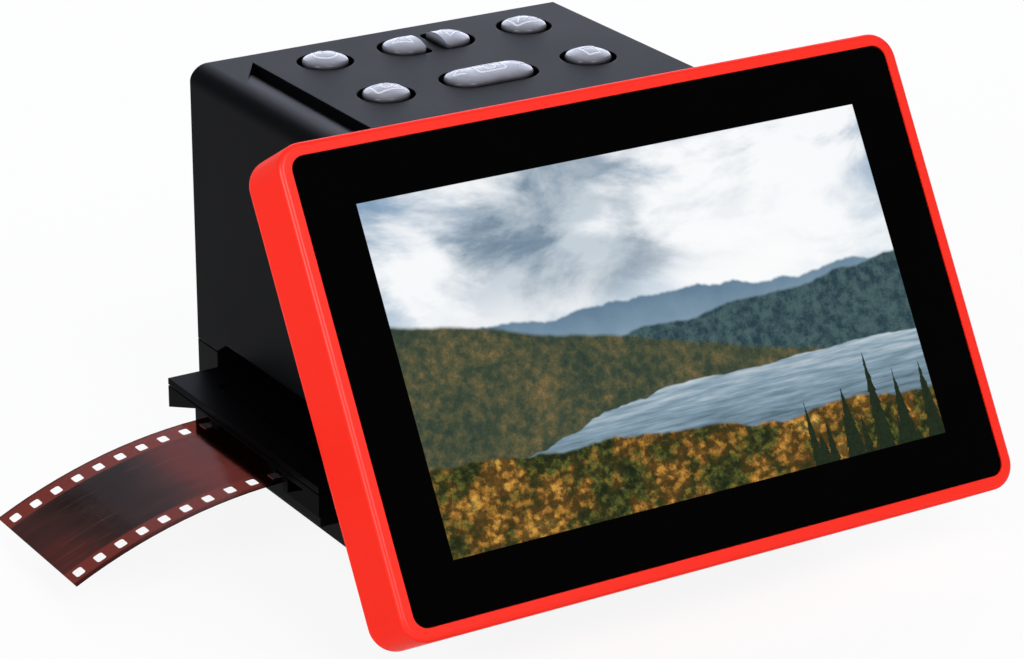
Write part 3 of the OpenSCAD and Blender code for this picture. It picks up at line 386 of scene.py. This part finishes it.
def solid_grid(grid, is_ring):
    """Points, quads and end fans of a closed mesh from a grid of points [row, column, xyz].

    The columns run round a section and the rows follow a path. The path is closed if is_ring is
    true. Otherwise a flat fan of triangles from its middle closes each end.
    """
    rows, cols = grid.shape[:2]
    points = grid.reshape(-1, 3)
    i = np.arange(rows if is_ring else rows - 1)[:, None]
    j = np.arange(cols)[None, :]
    up, right = (i + 1) % rows, (j + 1) % cols
    quads = [i * cols + j, i * cols + right, up * cols + right, up * cols + j]
    quads = np.stack(quads, -1).reshape(-1, 4)
    if is_ring:
        return points, quads, np.zeros((0, 3), int)
    points = np.concatenate([points, grid[0].mean(0)[None], grid[-1].mean(0)[None]])
    here = np.arange(cols)
    after = (here + 1) % cols
    last = (rows - 1) * cols
    near = np.stack([np.full(cols, rows * cols), after, here], -1)
    far = np.stack([np.full(cols, rows * cols + 1), last + here, last + after], -1)
    return points, quads, np.concatenate([near, far])


def make_piece(name, parts, body):
    """One object from several closed grids, riding on a body."""
    points, faces, base = [], [], 0
    for grid, is_ring in parts:
        corners, quads, fans = solid_grid(grid, is_ring)
        outward = six_volumes(corners, quads) + six_volumes(corners, fans) > 0
        step = 1 if outward else -1
        faces += [list(face[::step] + base) for face in (*quads, *fans)]
        points.append(corners)
        base += len(corners)
    mesh = bpy.data.meshes.new(name)
    mesh.from_pydata(np.concatenate(points).tolist(), [], faces)
    mesh.polygons.foreach_set("use_smooth", np.ones(len(mesh.polygons), bool))
    mesh.validate()
    mesh.update()
    made = bpy.data.objects.new(name, mesh)
    bpy.context.scene.collection.objects.link(made)
    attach(made, body)
    return made


# ---------------------------------------------------------------- key marks

def arc(cx, cy, r, start, end, count=25):
    """Points on a circle from one angle to another: x = cx + r cos a, y = cy + r sin a."""
    angle = np.radians(np.linspace(start, end, count))
    return np.column_stack([cx + r * np.cos(angle), cy + r * np.sin(angle)])


def ring(r, count):
    """Points round a whole circle, the last one short of the first."""
    return arc(0.0, 0.0, r, 0.0, 360.0 * (count - 1) / count, count)


def line(*corners):
    """Points on straight stretches between the corners, eight steps to a stretch."""
    steps = np.linspace(0.0, 1.0, 9)[:-1, None]
    rows = [np.array(a) * (1 - steps) + np.array(b) * steps for a, b in zip(corners, corners[1:])]
    return np.concatenate(rows + [np.array([corners[-1]])])


def closed_line(*corners):
    """Points round straight stretches that lead back to the first corner."""
    return line(*corners, corners[0])[:-1]


def rounded(w, h, r):
    """Points round a rectangle whose corners are quarter circles of radius r."""
    w, h = w / 2 - r, h / 2 - r
    quarters = [arc(sx * w, sy * h, r, a, a + 90, 7)
                for sx, sy, a in ((1, 1, 0), (-1, 1, 90), (-1, -1, 180), (1, -1, 270))]
    steps = np.linspace(0.0, 1.0, 8)[1:-1, None]
    sides = []
    for k, quarter in enumerate(quarters):
        following = quarters[(k + 1) % 4]
        sides += [quarter, quarter[-1] * (1 - steps) + following[0] * steps]
    return np.concatenate(sides)


# Lines of each mark in millimetres from its middle, and whether each closes on itself.
MARKS = {
    "power_key": [(arc(0, 0, 2.1, 125, 415), False), (line((0, 0.9), (0, 2.7)), False)],
    "left_key": [(closed_line((-2.2, 0), (0.9, 1.9), (0.9, -1.9)), True)],
    "right_key": [(closed_line((2.2, 0), (-0.9, -1.9), (-0.9, 1.9)), True)],
    "gallery_key": [(rounded(5.2, 3.8, 0.6), True),
                    (line((-1.9, -1.0), (-0.5, 0.6), (0.4, -0.3), (1.1, 0.3), (1.9, -1.0)), False)],
    "mode_key": [(rounded(5.0, 3.4, 0.6), True), (ring(0.9, 24), True)],
    "capture_key": [(rounded(5.4, 3.4, 0.6), True), (ring(1.05, 28), True),
                    (line((5.0, 1.2), (7.0, 0), (5.0, -1.2)), False),
                    (line((-5.0, 1.2), (-7.0, 0), (-5.0, -1.2)), False)],
    "delete_key": [(closed_line((-1.4, 0.9), (-1.1, -2.2), (1.1, -2.2), (1.4, 0.9)), True),
                   (line((-2.0, 1.5), (2.0, 1.5)), False)],
}

# Section of a raised line: places across it in widths, and heights over the cap in its own height.
SECTION_ACROSS = np.array([-0.5, -0.5, -0.38, 0.0, 0.38, 0.5, 0.5, 0.0])
SECTION_HEIGHT = np.array([-0.8, 0.3, 0.92, 1.0, 0.92, 0.3, -0.8, -0.8])


def cap_height(x, y, half, top):
    """Height of a key cap's dome at x, y from its middle, in millimetres.

    z = top - R + sqrt(R^2 - a^2), where R is the dome's radius and a is the distance from its
    ridge, a straight line from -half to half along x.
    """
    away = np.hypot(np.maximum(np.abs(x) - half, 0.0), y)
    return top - KEY_DOME_R + np.sqrt(KEY_DOME_R * KEY_DOME_R - away * away)


def stroke(path, is_ring, width, raised, half, top):
    """Raised line on a domed key cap, in millimetres.

    The path runs on the cap. At right angles to its direction a section of eight points goes
    round the line: from below the cap up a rounded shoulder to the top, down the other one and
    back below the cap. The height of each is cap_height there plus the section's.
    """
    if is_ring:
        way = np.roll(path, -1, 0) - np.roll(path, 1, 0)
    else:
        way = np.gradient(path, axis=0)
    way /= np.linalg.norm(way, axis=1, keepdims=True)
    side = np.column_stack([-way[:, 1], way[:, 0]])
    flat = path[:, None, :] + side[:, None, :] * (SECTION_ACROSS * width)[None, :, None]
    height = cap_height(flat[..., 0], flat[..., 1], half, top) + (SECTION_HEIGHT * raised)[None, :]
    return np.concatenate([flat, height[..., None]], -1)


def cap_shape(node):
    """A cap's middle, half the length of its dome's ridge, its top and the mark's place along it.

    All in millimetres. The two half keys share the dome of one long key, as long as the one below.
    """
    low, high = (np.array(v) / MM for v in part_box(node))
    middle = (low + high) / 2
    half = LONG_HOLE / 2 - KEY_HOLE_R if node in LONG_KEYS else 0.0
    mark_x = HALF_MARKS.get(node, 0.0)
    if mark_x:
        middle[0] = sum(v[0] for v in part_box("capture_key")) / 2 / MM
    return middle, half, high[2], mark_x


# ---------------------------------------------------------------- the picture

# Stops of the colour ramps, each a place from 0 to 1 and a colour.
SKY_TONES = [(0.0, linear(214, 224, 232)), (0.55, linear(206, 219, 230)),
             (1.0, linear(126, 156, 184))]
CLOUD_TONES = [(0.34, linear(66, 90, 112)), (0.50, linear(112, 136, 156)),
               (0.64, linear(190, 202, 212))]
FAR_TONES = [(0.0, linear(148, 172, 188)), (1.0, linear(72, 104, 132))]
WOOD_TONES = [(0.34, linear(26, 38, 30)), (0.46, linear(58, 66, 42)),
              (0.55, linear(96, 88, 50)), (0.66, linear(150, 116, 66))]
LAKE_TONES = [(0.30, linear(206, 216, 222)), (0.52, linear(132, 156, 172)),
              (0.72, linear(70, 92, 104))]
TREE_TONES = [(0.32, linear(38, 50, 28)), (0.44, linear(92, 94, 42)), (0.54, linear(164, 112, 48)),
              (0.64, linear(204, 152, 66)), (0.76, linear(222, 196, 112))]

# Hills: height, swing of the line, how often it swings, seed, slope and softness of the line.
FAR_HILL = (0.13, 0.17, 1.9, 5.3, -0.05, 0.012)
MIDDLE_HILL = (-0.02, 0.15, 1.5, 12.7, 0.10, 0.012)
NEAR_HILL = (-0.10, 0.10, 1.7, 21.0, -0.42, 0.016)

# Rows of firs: trees in half a picture height, shift, foot, and the lowest and highest tree. They
# stand to the right of FIRS_FROM, and FIR_HALF_W is half a tree's foot as a share of its place.
FIR_ROWS = ((5.3, 0.0, -1.02, 0.20, 0.62), (8.1, 0.37, -1.06, 0.10, 0.46))
FIRS_FROM = 0.66
FIR_HALF_W = 0.34


def ridge(paint, s, t, hill):
    """Mask that is 1 below a hill line: height + slope * s, moved up and down by noise along s."""
    height, swing, scale, seed, slope, soft = hill
    wave = paint.noise(paint.join(s * scale + seed, seed), 1.0, 5.0, 0.55)
    return (height + slope * s + (wave - 0.5) * (2.0 * swing) - t).rise(-soft, soft)


def clouded_sky(paint, s, t, wide):
    """Sky with white puffs, one dark bank and a bright place low on the right."""
    high = paint.join(wide * 0.75, t * 1.5, 9.1)
    puffs = paint.noise(high, 1.25, 7.0, 0.58, 0.35)
    slanted = paint.join(wide * 0.5 + 4.2, t * 1.15 + wide * 0.22, 2.3)
    bank = paint.noise(slanted, 1.7, 7.0, 0.56, 0.25)
    sky = paint.ramped(t * 0.5 + 0.5, SKY_TONES)
    sky = paint.mix(puffs.rise(0.40, 0.60), sky, linear(247, 249, 251))
    dark = (bank + 0.20 - (s + 0.28).size() * 0.30).rise(0.50, 0.68) * t.rise(0.05, 0.50)
    sky = paint.mix(dark * 0.92, sky, paint.ramped(puffs, CLOUD_TONES))
    glow = paint.vector("DISTANCE", paint.join(wide, t), (0.75, 0.20, 0.0))
    return paint.mix((1.0 - glow.rise(0.1, 1.0)) * 0.75, sky, linear(252, 253, 253))


def hills(paint, picture, s, t, leaf, patch):
    """Three hills, one before the other: blue and far, grey green, and wooded."""
    far = paint.ramped(t * 2.0 + patch * 0.5 + 0.15, FAR_TONES)
    picture = paint.mix(ridge(paint, s, t, FAR_HILL), picture, far)
    middle = paint.mix(leaf.rise(0.35, 0.65), linear(40, 62, 72), linear(74, 98, 100))
    picture = paint.mix(ridge(paint, s, t, MIDDLE_HILL), picture, middle)
    wood = paint.ramped(leaf * 0.62 + patch * 0.38, WOOD_TONES)
    near = ridge(paint, s, t, NEAR_HILL)
    return paint.mix(near, picture, paint.mix(0.30, wood, linear(66, 84, 80)))


def lake(paint, picture, s, t, wide):
    """Water below a ragged shore that comes to a point on the left."""
    shore = paint.noise(paint.join(wide * 1.3, 4.0), 1.0, 4.0, 0.6)
    end = (s + 0.05 + (shore - 0.5) * 0.5).least(0.0) * 0.33
    water = ((shore - 0.5) * 0.12 - 0.36 + end - t).rise(-0.006, 0.006)
    ripple = paint.noise(paint.join(wide * 3.0, t * 34.0), 1.0, 3.0, 0.6)
    return paint.mix(water, picture, paint.ramped(ripple * 0.5 - t * 0.55, LAKE_TONES))


def near_trees(paint, picture, s, t, wide, leaf, speck, at):
    """Autumn trees along the bottom: round crowns with dark gaps."""
    bank_line = paint.noise(paint.join(wide * 1.1 + 7.0, 1.0), 1.0, 4.0, 0.55)
    near = ((bank_line - 0.5) * 0.36 - 0.62 - s * 0.10 - t).rise(-0.012, 0.012)
    clump = paint.noise(at, 5.0, 3.0, 0.55)
    crown_at = paint.join(wide + leaf * 0.10, t * 1.3 + leaf * 0.08, 3.7)
    crowns = paint.cells(crown_at, 19.0, feature="SMOOTH_F1")
    trees = paint.ramped(clump * 0.85 + speck * 0.35 - 0.10, TREE_TONES)
    shade = (crowns * 1.5 + (0.5 - speck) * 0.9).rise(0.25, 0.85)
    trees = paint.mix(shade * 0.80, trees, linear(26, 32, 20))
    return paint.mix(near, picture, trees)


def firs(paint, picture, t, wide, leaf, speck):
    """Two rows of dark firs at the lower right, each tree with its own height and place."""
    for count, shift, foot, low, high in FIR_ROWS:
        step = wide * count + shift
        pick = paint.one("ShaderNodeTexWhiteNoise", {"noise_dimensions": "1D"},
                         {"W": step.whole()}, "Value")
        middle = 0.36 + pick * 0.28
        away = (step.part() - middle).size()
        saw = ((t * 13.0 + pick * 5.0).part() - 0.5) * 0.16
        spire = 1.0 - (away + saw * away * 2.0) / FIR_HALF_W
        needle = (speck - 0.5) * 0.30 + (leaf - 0.5) * 0.20
        fir = (spire * (low + pick * (high - low)) + foot + needle * 0.5 - t).rise(-0.02, 0.02)
        fir = fir * (step.whole() - count * FIRS_FROM).rise(0.0, 0.01)
        picture = paint.mix(fir, picture, paint.mix(speck, linear(12, 20, 15), linear(46, 60, 40)))
    return picture


def landscape(paint, s, t):
    """A lake between wooded hills under clouds. s and t run from -1 to 1 over the picture."""
    wide = s * (PICTURE_W / PICTURE_H)
    at = paint.join(wide, t, 3.7)
    leaf = paint.noise(at, 16.0, 6.0, 0.72)
    patch = paint.noise(at, 3.4, 5.0, 0.62)
    speck = paint.noise(at, 42.0, 4.0, 0.7)
    picture = clouded_sky(paint, s, t, wide)
    picture = hills(paint, picture, s, t, leaf, patch)
    picture = lake(paint, picture, s, t, wide)
    picture = near_trees(paint, picture, s, t, wide, leaf, speck, at)
    return firs(paint, picture, t, wide, leaf, speck)


# ---------------------------------------------------------------- operators

class SCANNER_OT_shells(bpy.types.Operator):
    """Paint the housing, the display's back cover and the rubber parts"""
    bl_idname = "scanner.shells"
    bl_label = "Shells and rubber"

    def execute(self, context):
        look = context.scene.scanner_colours
        shell = moulded("satin black shell", look.shell, 0.42, 0.42, 0.006, 0.016, 0.45)
        shell.on(*nodes_in("black_shell"))
        inner = moulded("dull black inside", linear(22, 22, 24), 0.72, 0.5, 0.02, 0.25)
        inner.on(*nodes_in("black_inner"))
        rubber = moulded("rubber", linear(38, 38, 39), 0.85, 0.30, 0.03, 0.25, 0.0, 0.15)
        rubber.on(*nodes_in("rubber"))
        return {"FINISHED"}


class SCANNER_OT_display_frame(bpy.types.Operator):
    """Paint the display's coloured frame"""
    bl_idname = "scanner.display_frame"
    bl_label = "Display frame"

    def execute(self, context):
        look = context.scene.scanner_colours
        bezel = moulded("red gloss frame", look.bezel, 0.34, 0.9, 0.004, 0.015, 0.0, 0.02)
        # The clear coat is 0.6 on the flat front, more where the front rounds over to the left and
        # right sides, and little where it rounds over to the top and the bottom.
        facing = bezel.one("ShaderNodeTexCoord", {}, {}, "Normal")
        front = bezel.vector("DOT_PRODUCT", facing, OUTWARD).most(0.0)
        sideways = bezel.vector("DOT_PRODUCT", facing, ACROSS)
        coat = front * front * (sideways * sideways * 2.4 + front * front * 0.6)
        bezel.set(Coat_Roughness=0.34, Coat_Weight=coat.least(1.0))
        bezel.on(*nodes_in("red_frame"))
        return {"FINISHED"}


class SCANNER_OT_cover_glass(bpy.types.Operator):
    """Paint the cover glass: a black border and a lit picture behind it"""
    bl_idname = "scanner.cover_glass"
    bl_label = "Cover glass and picture"

    # Half the width of the picture's soft border, and between which places out from the glass's
    # middle the picture appears, so that only the front face shows it. Both in millimetres.
    soft = 0.05
    front = (0.2, 0.4)

    def execute(self, context):
        low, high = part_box("cover_glass")
        centre = tuple((low + high) / 2 / MM)
        paint = Paint("black cover glass", Specular_IOR_Level=0.02, IOR=1.5, Emission_Strength=1.0)
        x = paint.along(ACROSS, centre)
        y = paint.along(UPSLOPE, centre)
        out = paint.along(OUTWARD, centre)
        across = (PICTURE_W / 2 - x.size()).rise(-self.soft, self.soft)
        upright = (PICTURE_H / 2 - y.size()).rise(-self.soft, self.soft)
        inside = across * upright * out.rise(*self.front)
        picture = landscape(paint, x / (PICTURE_W / 2), y / (PICTURE_H / 2))
        smear = paint.noise(paint.place, 0.06, 4.0, 0.6, 1.0)
        paint.set(
            Base_Color=paint.mix(smear, linear(1, 1, 1), linear(3, 3, 3)),
            Roughness=0.05 + smear * 0.05,
            Emission_Color=paint.mix(inside, (0.0, 0.0, 0.0), picture),
        )
        paint.on(NODES["cover_glass"])
        return {"FINISHED"}


class SCANNER_OT_keys(bpy.types.Operator):
    """Paint the domed keys and lay a raised mark on each"""
    bl_idname = "scanner.keys"
    bl_label = "Keys and their marks"

    # Stops of the ramp of painted shade from a cap's skirt to its top, each with a share of the
    # cap's colour.
    cap_shade_tones = ((0.10, 0.04), (0.34, 0.22), (0.55, 0.55), (0.80, 1.0))

    def paint_caps_and_shade(self, look):
        """Grey plastic with painted shade that darkens down the skirts of the caps, into their
        holes.
        """
        caps = moulded("grey key cap", look.keys, 0.22, 0.6, 0.004, 0.22, 0.0, 0.05)
        z = caps.axes()[2]
        tone = caps.noise(caps.place, 0.35, 3.0, 0.6)
        # Painted shade: the colour darkens towards the deck and is near black below it, where the
        # caps sink into their holes.
        height = z + (tone - 0.5) * 0.5 - DECK_Z
        stops = [(at, tuple(part * share for part in look.keys)) for at, share in self.cap_shade_tones]
        caps.set(Base_Color=caps.ramped(height * 0.5 + 0.25, stops))
        caps.on(*nodes_in("key_grey"))

    def execute(self, context):
        look = context.scene.scanner_colours
        size = context.scene.scanner_marks
        self.paint_caps_and_shade(look)
        ink = moulded("key mark", look.marks, 0.40, 0.5, 0.004, 0.3, 0.0, 0.05)
        for key, lines in MARKS.items():
            middle, half, top, mark_x = cap_shape(key)
            parts = []
            for path, is_ring in lines:
                path = path * size.scale + (mark_x, 0.0)
                grid = stroke(path, is_ring, size.stroke / MM, size.raised / MM, half, top)
                grid[..., :2] += middle[:2]
                parts.append((grid * MM, is_ring))
            ink.on(make_piece(key + "_mark", parts, key))
        return {"FINISHED"}


class SCANNER_OT_adapter(bpy.types.Operator):
    """Paint the film adapter and its lid"""
    bl_idname = "scanner.adapter"
    bl_label = "Film adapter"

    def execute(self, context):
        look = context.scene.scanner_colours
        adapter = moulded("satin black adapter", look.adapter, 0.40, 0.5, 0.006, 0.007, 0.25)
        adapter.on(*nodes_in("adapter_black"))
        return {"FINISHED"}


class SCANNER_OT_film(bpy.types.Operator):
    """Paint the film strip: a clear brown base with darker pictures between the perforations"""
    bl_idname = "scanner.film"
    bl_label = "Film strip"

    # Places in millimetres, each with the one where the change is done. Across the strip, from its
    # middle: where the pictures end, the cut edge begins and the painted shade along the front
    # border begins.
    picture_end = (11.7, 12.1)
    cut_edge = (17.15, 17.35)
    front_rim_shade = (16.0, 16.7)
    # Along the strip, from its free end: where the pale tip turns dark, where the pictures turn
    # pale again, and where the painted shade along the front border weakens.
    tip_end = (2.0, 15.0)
    pale_from = (20.0, 34.0)
    rim_shade_fade = (10.0, 46.0)
    # Stops of the ramp of the exposed pictures.
    picture_tones = [(0.22, linear(38, 28, 27)), (0.42, linear(60, 39, 38)),
                     (0.66, linear(98, 44, 40))]

    def execute(self, context):
        look = context.scene.scanner_colours
        low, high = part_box("film_strip")
        paint = Paint("film", Specular_IOR_Level=0.5, IOR=1.06, Transmission_Weight=1.0)
        x, y, _ = paint.axes()
        middle = (low.y + high.y) / 2 / MM
        side = (y - middle).size()
        picture = 1.0 - side.rise(*self.picture_end)
        from_tip = x - low.x / MM
        blotch = paint.noise(paint.join(x * 0.05, y * 0.08), 1.0, 4.0, 0.6, 0.4)
        streak = paint.noise(paint.join(x * 0.02 + y * 0.04, y * 0.5), 1.0, 3.0, 0.6)
        pale = from_tip.rise(*self.pale_from) + (1.0 - from_tip.rise(*self.tip_end)) * 0.5
        pale = pale - (y - middle) * 0.016
        dark = paint.ramped(blotch * 0.45 + streak * 0.2 + pale * 0.40 - 0.08, self.picture_tones)
        # Painted shade along the front border of the strip, half as strong far from its free end.
        rim_shade = (middle - y).rise(*self.front_rim_shade) * (1.0 - from_tip.rise(*self.rim_shade_fade) * 0.5)
        edge = side.rise(*self.cut_edge).most(rim_shade)
        drawn = paint.join(x * 0.05, y * 1.4 + x * 0.06, 5.0)
        scratch = paint.noise(drawn, 1.0, 3.0, 0.6).rise(0.60, 0.72)
        base = paint.mix(blotch, look.film, tuple(part * 0.8 for part in look.film))
        colour = paint.mix(picture, base, dark)
        colour = paint.mix(scratch * picture * 0.30, colour, linear(150, 112, 106))
        # Darkened: the cut edges of the strip, and the painted shade along its front border.
        colour = paint.mix(edge * 0.75, colour, linear(26, 16, 18))
        paint.set(
            Base_Color=colour,
            Roughness=0.10 + blotch * 0.08,
            Normal=paint.relief(streak, 0.05),
        )
        paint.on(NODES["film_strip"])
        return {"FINISHED"}


class SCANNER_OT_insides(bpy.types.Operator):
    """Paint the boards, sockets, screws, optics and other inner parts"""
    bl_idname = "scanner.insides"
    bl_label = "Insides"

    # Tables of the materials: the slot and the name, and then what their functions below take.
    metals = (
        ("steel", "bright steel", (0.60, 0.60, 0.62), 0.30),
        ("tin", "tinned sheet", (0.66, 0.66, 0.68), 0.36),
        ("reflector", "mirror sheet", (0.82, 0.82, 0.84), 0.18),
        ("magnet", "nickel magnet", (0.72, 0.71, 0.70), 0.16),
    )
    boards = (
        ("board", "green board", (0.012, 0.115, 0.045), (0.03, 0.19, 0.08)),
        ("white_board", "white board", (0.74, 0.74, 0.72), (0.80, 0.80, 0.78)),
    )
    plastics = (
        ("barrel", "anodised barrel", linear(48, 48, 52), 0.4, 0.4, 0.01, 0.5),
        ("chip", "chip resin", linear(38, 38, 40), 0.55, 0.25, 0.02, 0.4, 0.0, 0.1),
        ("led", "lamp resin", (0.85, 0.78, 0.42), 0.35, 0.5, 0.01, 0.5),
        ("white", "white diffuser", (0.82, 0.82, 0.81), 0.6, 0.6, 0.02, 0.4, 0.0, 0.03),
        ("ribbon", "ribbon", (0.72, 0.70, 0.62), 0.45, 1.0, 0.02, 0.4),
        ("panel", "panel film", linear(94, 98, 104), 0.35, 0.8, 0.01, 0.4),
    )
    glasses = (("lens", "coated lens", (0.70, 0.80, 0.92), (0.82, 0.86, 0.94)),)

    # A board's tracks: lines to a millimetre, where a line rises as a share of their spacing, and
    # the cells to a millimetre that choose which way the lines run.
    track_rate = 0.9
    track_edge = (0.30, 0.36)
    cell_rate = 0.16

    def metal(self, name, colour, gloss):
        """Metal whose tone and gloss change finely."""
        paint = Paint(name, Metallic=1.0)
        fine = paint.noise(paint.place, 2.0, 3.0, 0.6)
        paint.set(
            Base_Color=paint.mix(fine, tuple(part * 0.85 for part in colour), colour),
            Roughness=gloss + (fine - 0.5) * 0.15,
        )
        return paint

    def board(self, name, colour, track):
        """Circuit board: copper tracks under the mask, on a square grid broken up by cells."""
        paint = Paint(name, Specular_IOR_Level=0.5)
        x, y, _ = paint.axes()
        lanes = ((x * self.track_rate).part() - 0.5).size().rise(*self.track_edge)
        rows = ((y * self.track_rate).part() - 0.5).size().rise(*self.track_edge)
        pick = paint.cells(paint.place, self.cell_rate, "Color")
        which = paint.one("ShaderNodeSeparateColor", {}, [pick]).rise(0.49, 0.51)
        copper = lanes * which + rows * (1.0 - which)
        paint.set(
            Base_Color=paint.mix(copper, colour, track),
            Roughness=0.42 - copper * 0.08,
            Normal=paint.relief(copper, 0.03),
        )
        return paint

    def glass(self, name, first, second):
        """Clear glass whose tint goes from one colour to another."""
        paint = Paint(name, Transmission_Weight=0.9, IOR=1.55)
        tint = paint.noise(paint.place, 0.3, 2.0, 0.5)
        paint.set(Base_Color=paint.mix(tint, first, second), Roughness=0.02 + tint * 0.02)
        return paint

    def execute(self, context):
        kinds = ((self.metal, self.metals), (self.board, self.boards),
                 (moulded, self.plastics), (self.glass, self.glasses))
        for paint, rows in kinds:
            for slot, *look in rows:
                paint(*look).on(*nodes_in(slot))
        return {"FINISHED"}


# Lamps: name, place and size in metres, watts and colour. All point at LAMPS_AIM.
LAMPS_AIM = (0.0, 0.0, 0.05)
LAMPS = (
    ("front lamp", (0.0, -1.45, 1.35), 0.9, 15.5, WHITE),
    ("side lamp", (-1.6, -0.55, 0.85), 0.8, 15.0, WHITE),
    ("back lamp", (0.88, 1.42, 0.75), 2.0, 34.0, (0.74, 0.79, 0.97)),
)

# The floor's half side and height in metres, its cells along a side, and the share of plain white
# that the camera sees on it.
FLOOR_HALF = 4.0
FLOOR_Z = -0.0002
FLOOR_CELLS = 8
FLOOR_SHOWN = 0.90

CAMERA_ROLL = math.radians(0.13)


class SCANNER_OT_stage(bpy.types.Operator):
    """Set the floor, the lamps, the room light and the camera"""
    bl_idname = "scanner.stage"
    bl_label = "Stage"

    def lamp(self, name, place, size, watts, colour):
        """Round lamp that points at LAMPS_AIM."""
        data = bpy.data.lights.new(name, "AREA")
        data.shape = "DISK"
        data.size = size
        data.energy = watts
        data.color = colour
        made = bpy.data.objects.new(name, data)
        made.location = place
        aim = Vector(LAMPS_AIM) - Vector(place)
        made.rotation_euler = aim.to_track_quat("-Z", "Y").to_euler()
        bpy.context.scene.collection.objects.link(made)

    def floor(self):
        """White floor that the camera and mirrors see as lit, and that keeps the shadow."""
        row = FLOOR_CELLS + 1
        side = np.linspace(-FLOOR_HALF, FLOOR_HALF, row)
        gx, gy = np.meshgrid(side, side, indexing="ij")
        points = np.stack([gx, gy, np.full_like(gx, FLOOR_Z)], -1).reshape(-1, 3)
        cell = np.arange(FLOOR_CELLS)
        i, j = (a.ravel() for a in np.meshgrid(cell, cell, indexing="ij"))
        first = i * row + j
        quads = np.column_stack([first, first + row, first + row + 1, first + 1])
        mesh = bpy.data.meshes.new("floor")
        mesh.from_pydata(points.tolist(), [], quads.tolist())
        made = bpy.data.objects.new("floor", mesh)
        bpy.context.scene.collection.objects.link(made)
        paint = Paint("floor", Base_Color=(0.90, 0.90, 0.90), Roughness=0.9, Specular_IOR_Level=0.0)
        camera, glossy, through = paint.rays()
        seen = camera.most(glossy).most(through)
        white = paint.one("ShaderNodeEmission", {}, {"Color": WHITE, "Strength": 1.0})
        lit = Wire(paint, paint.shader.outputs[0])
        shown = paint.one("ShaderNodeMixShader", {}, [seen * FLOOR_SHOWN, lit, white])
        paint.feed(paint.out.inputs["Surface"], shown)
        paint.on(made)

    def room(self, look):
        """World whose even light is one strength, and which the camera sees as white."""
        world = bpy.data.worlds.new("studio")
        world.use_nodes = True
        nodes = Nodes(world.node_tree)
        camera, glossy, through = nodes.rays()
        seen = camera.most(glossy * look.mirrored).most(through)
        level = nodes.one("ShaderNodeMapRange", {},
                          {"Value": seen, "To Min": look.room, "To Max": 1.0}, "Result")
        light = nodes.one("ShaderNodeBackground", {}, {"Color": WHITE, "Strength": level})
        nodes.node("ShaderNodeOutputWorld", {}, {"Surface": light})
        bpy.context.scene.world = world

    def camera(self, look):
        """Camera whose axes follow from its turn round the scanner, its pitch and its roll."""
        back = Vector((-math.sin(look.turn) * math.cos(look.pitch),
                       -math.cos(look.turn) * math.cos(look.pitch), math.sin(look.pitch)))
        right = Vector((math.cos(look.turn), -math.sin(look.turn), 0.0))
        up = back.cross(right)
        right, up = (right * math.cos(CAMERA_ROLL) + up * math.sin(CAMERA_ROLL),
                     up * math.cos(CAMERA_ROLL) - right * math.sin(CAMERA_ROLL))
        data = bpy.data.cameras.new("camera")
        data.lens = look.lens
        data.sensor_width = 36.0
        data.clip_start = 0.01
        data.clip_end = 30.0
        made = bpy.data.objects.new("camera", data)
        facing = Matrix((right, up, back)).transposed().to_4x4()
        made.matrix_world = Matrix.Translation(look.place) @ facing
        bpy.context.scene.collection.objects.link(made)
        bpy.context.scene.camera = made

    def execute(self, context):
        look = context.scene.scanner_stage
        self.camera(look)
        self.floor()
        self.room(look)
        for name, place, size, watts, colour in LAMPS:
            self.lamp(name, place, size, watts * look.lamps, colour)
        context.scene.view_settings.view_transform = "Standard"
        return {"FINISHED"}


class SCANNER_PT_panel(bpy.types.Panel):
    """The scanner's settings and steps"""
    bl_idname = "SCANNER_PT_panel"
    bl_label = "Film scanner"
    bl_space_type = "VIEW_3D"
    bl_region_type = "UI"
    bl_category = "Scanner"

    def draw(self, context):
        for group in GROUPS:
            settings = getattr(context.scene, group)
            column = self.layout.column(align=True)
            for name in settings.__annotations__:
                column.prop(settings, name)
        for step in STEPS:
            self.layout.operator(step.bl_idname, text=step.bl_label)


GROUPS = {
    "scanner_colours": ScannerColours,
    "scanner_marks": ScannerMarks,
    "scanner_stage": ScannerStage,
}
STEPS = (
    SCANNER_OT_stage,
    SCANNER_OT_shells,
    SCANNER_OT_display_frame,
    SCANNER_OT_cover_glass,
    SCANNER_OT_keys,
    SCANNER_OT_adapter,
    SCANNER_OT_film,
    SCANNER_OT_insides,
)


def register():
    """Make the classes known and give each scene its settings."""
    for kind in (*GROUPS.values(), *STEPS, SCANNER_PT_panel):
        bpy.utils.register_class(kind)
    for name, kind in GROUPS.items():
        setattr(bpy.types.Scene, name, bpy.props.PointerProperty(type=kind))


def unregister():
    """Take the settings and the classes away again."""
    for name in GROUPS:
        delattr(bpy.types.Scene, name)
    for kind in reversed((*GROUPS.values(), *STEPS, SCANNER_PT_panel)):
        bpy.utils.unregister_class(kind)


def main():
    """Run every step in order."""
    register()
    for step in STEPS:
        group, name = step.bl_idname.split(".")
        getattr(getattr(bpy.ops, group), name)()


if __name__ == "__main__":
    main()
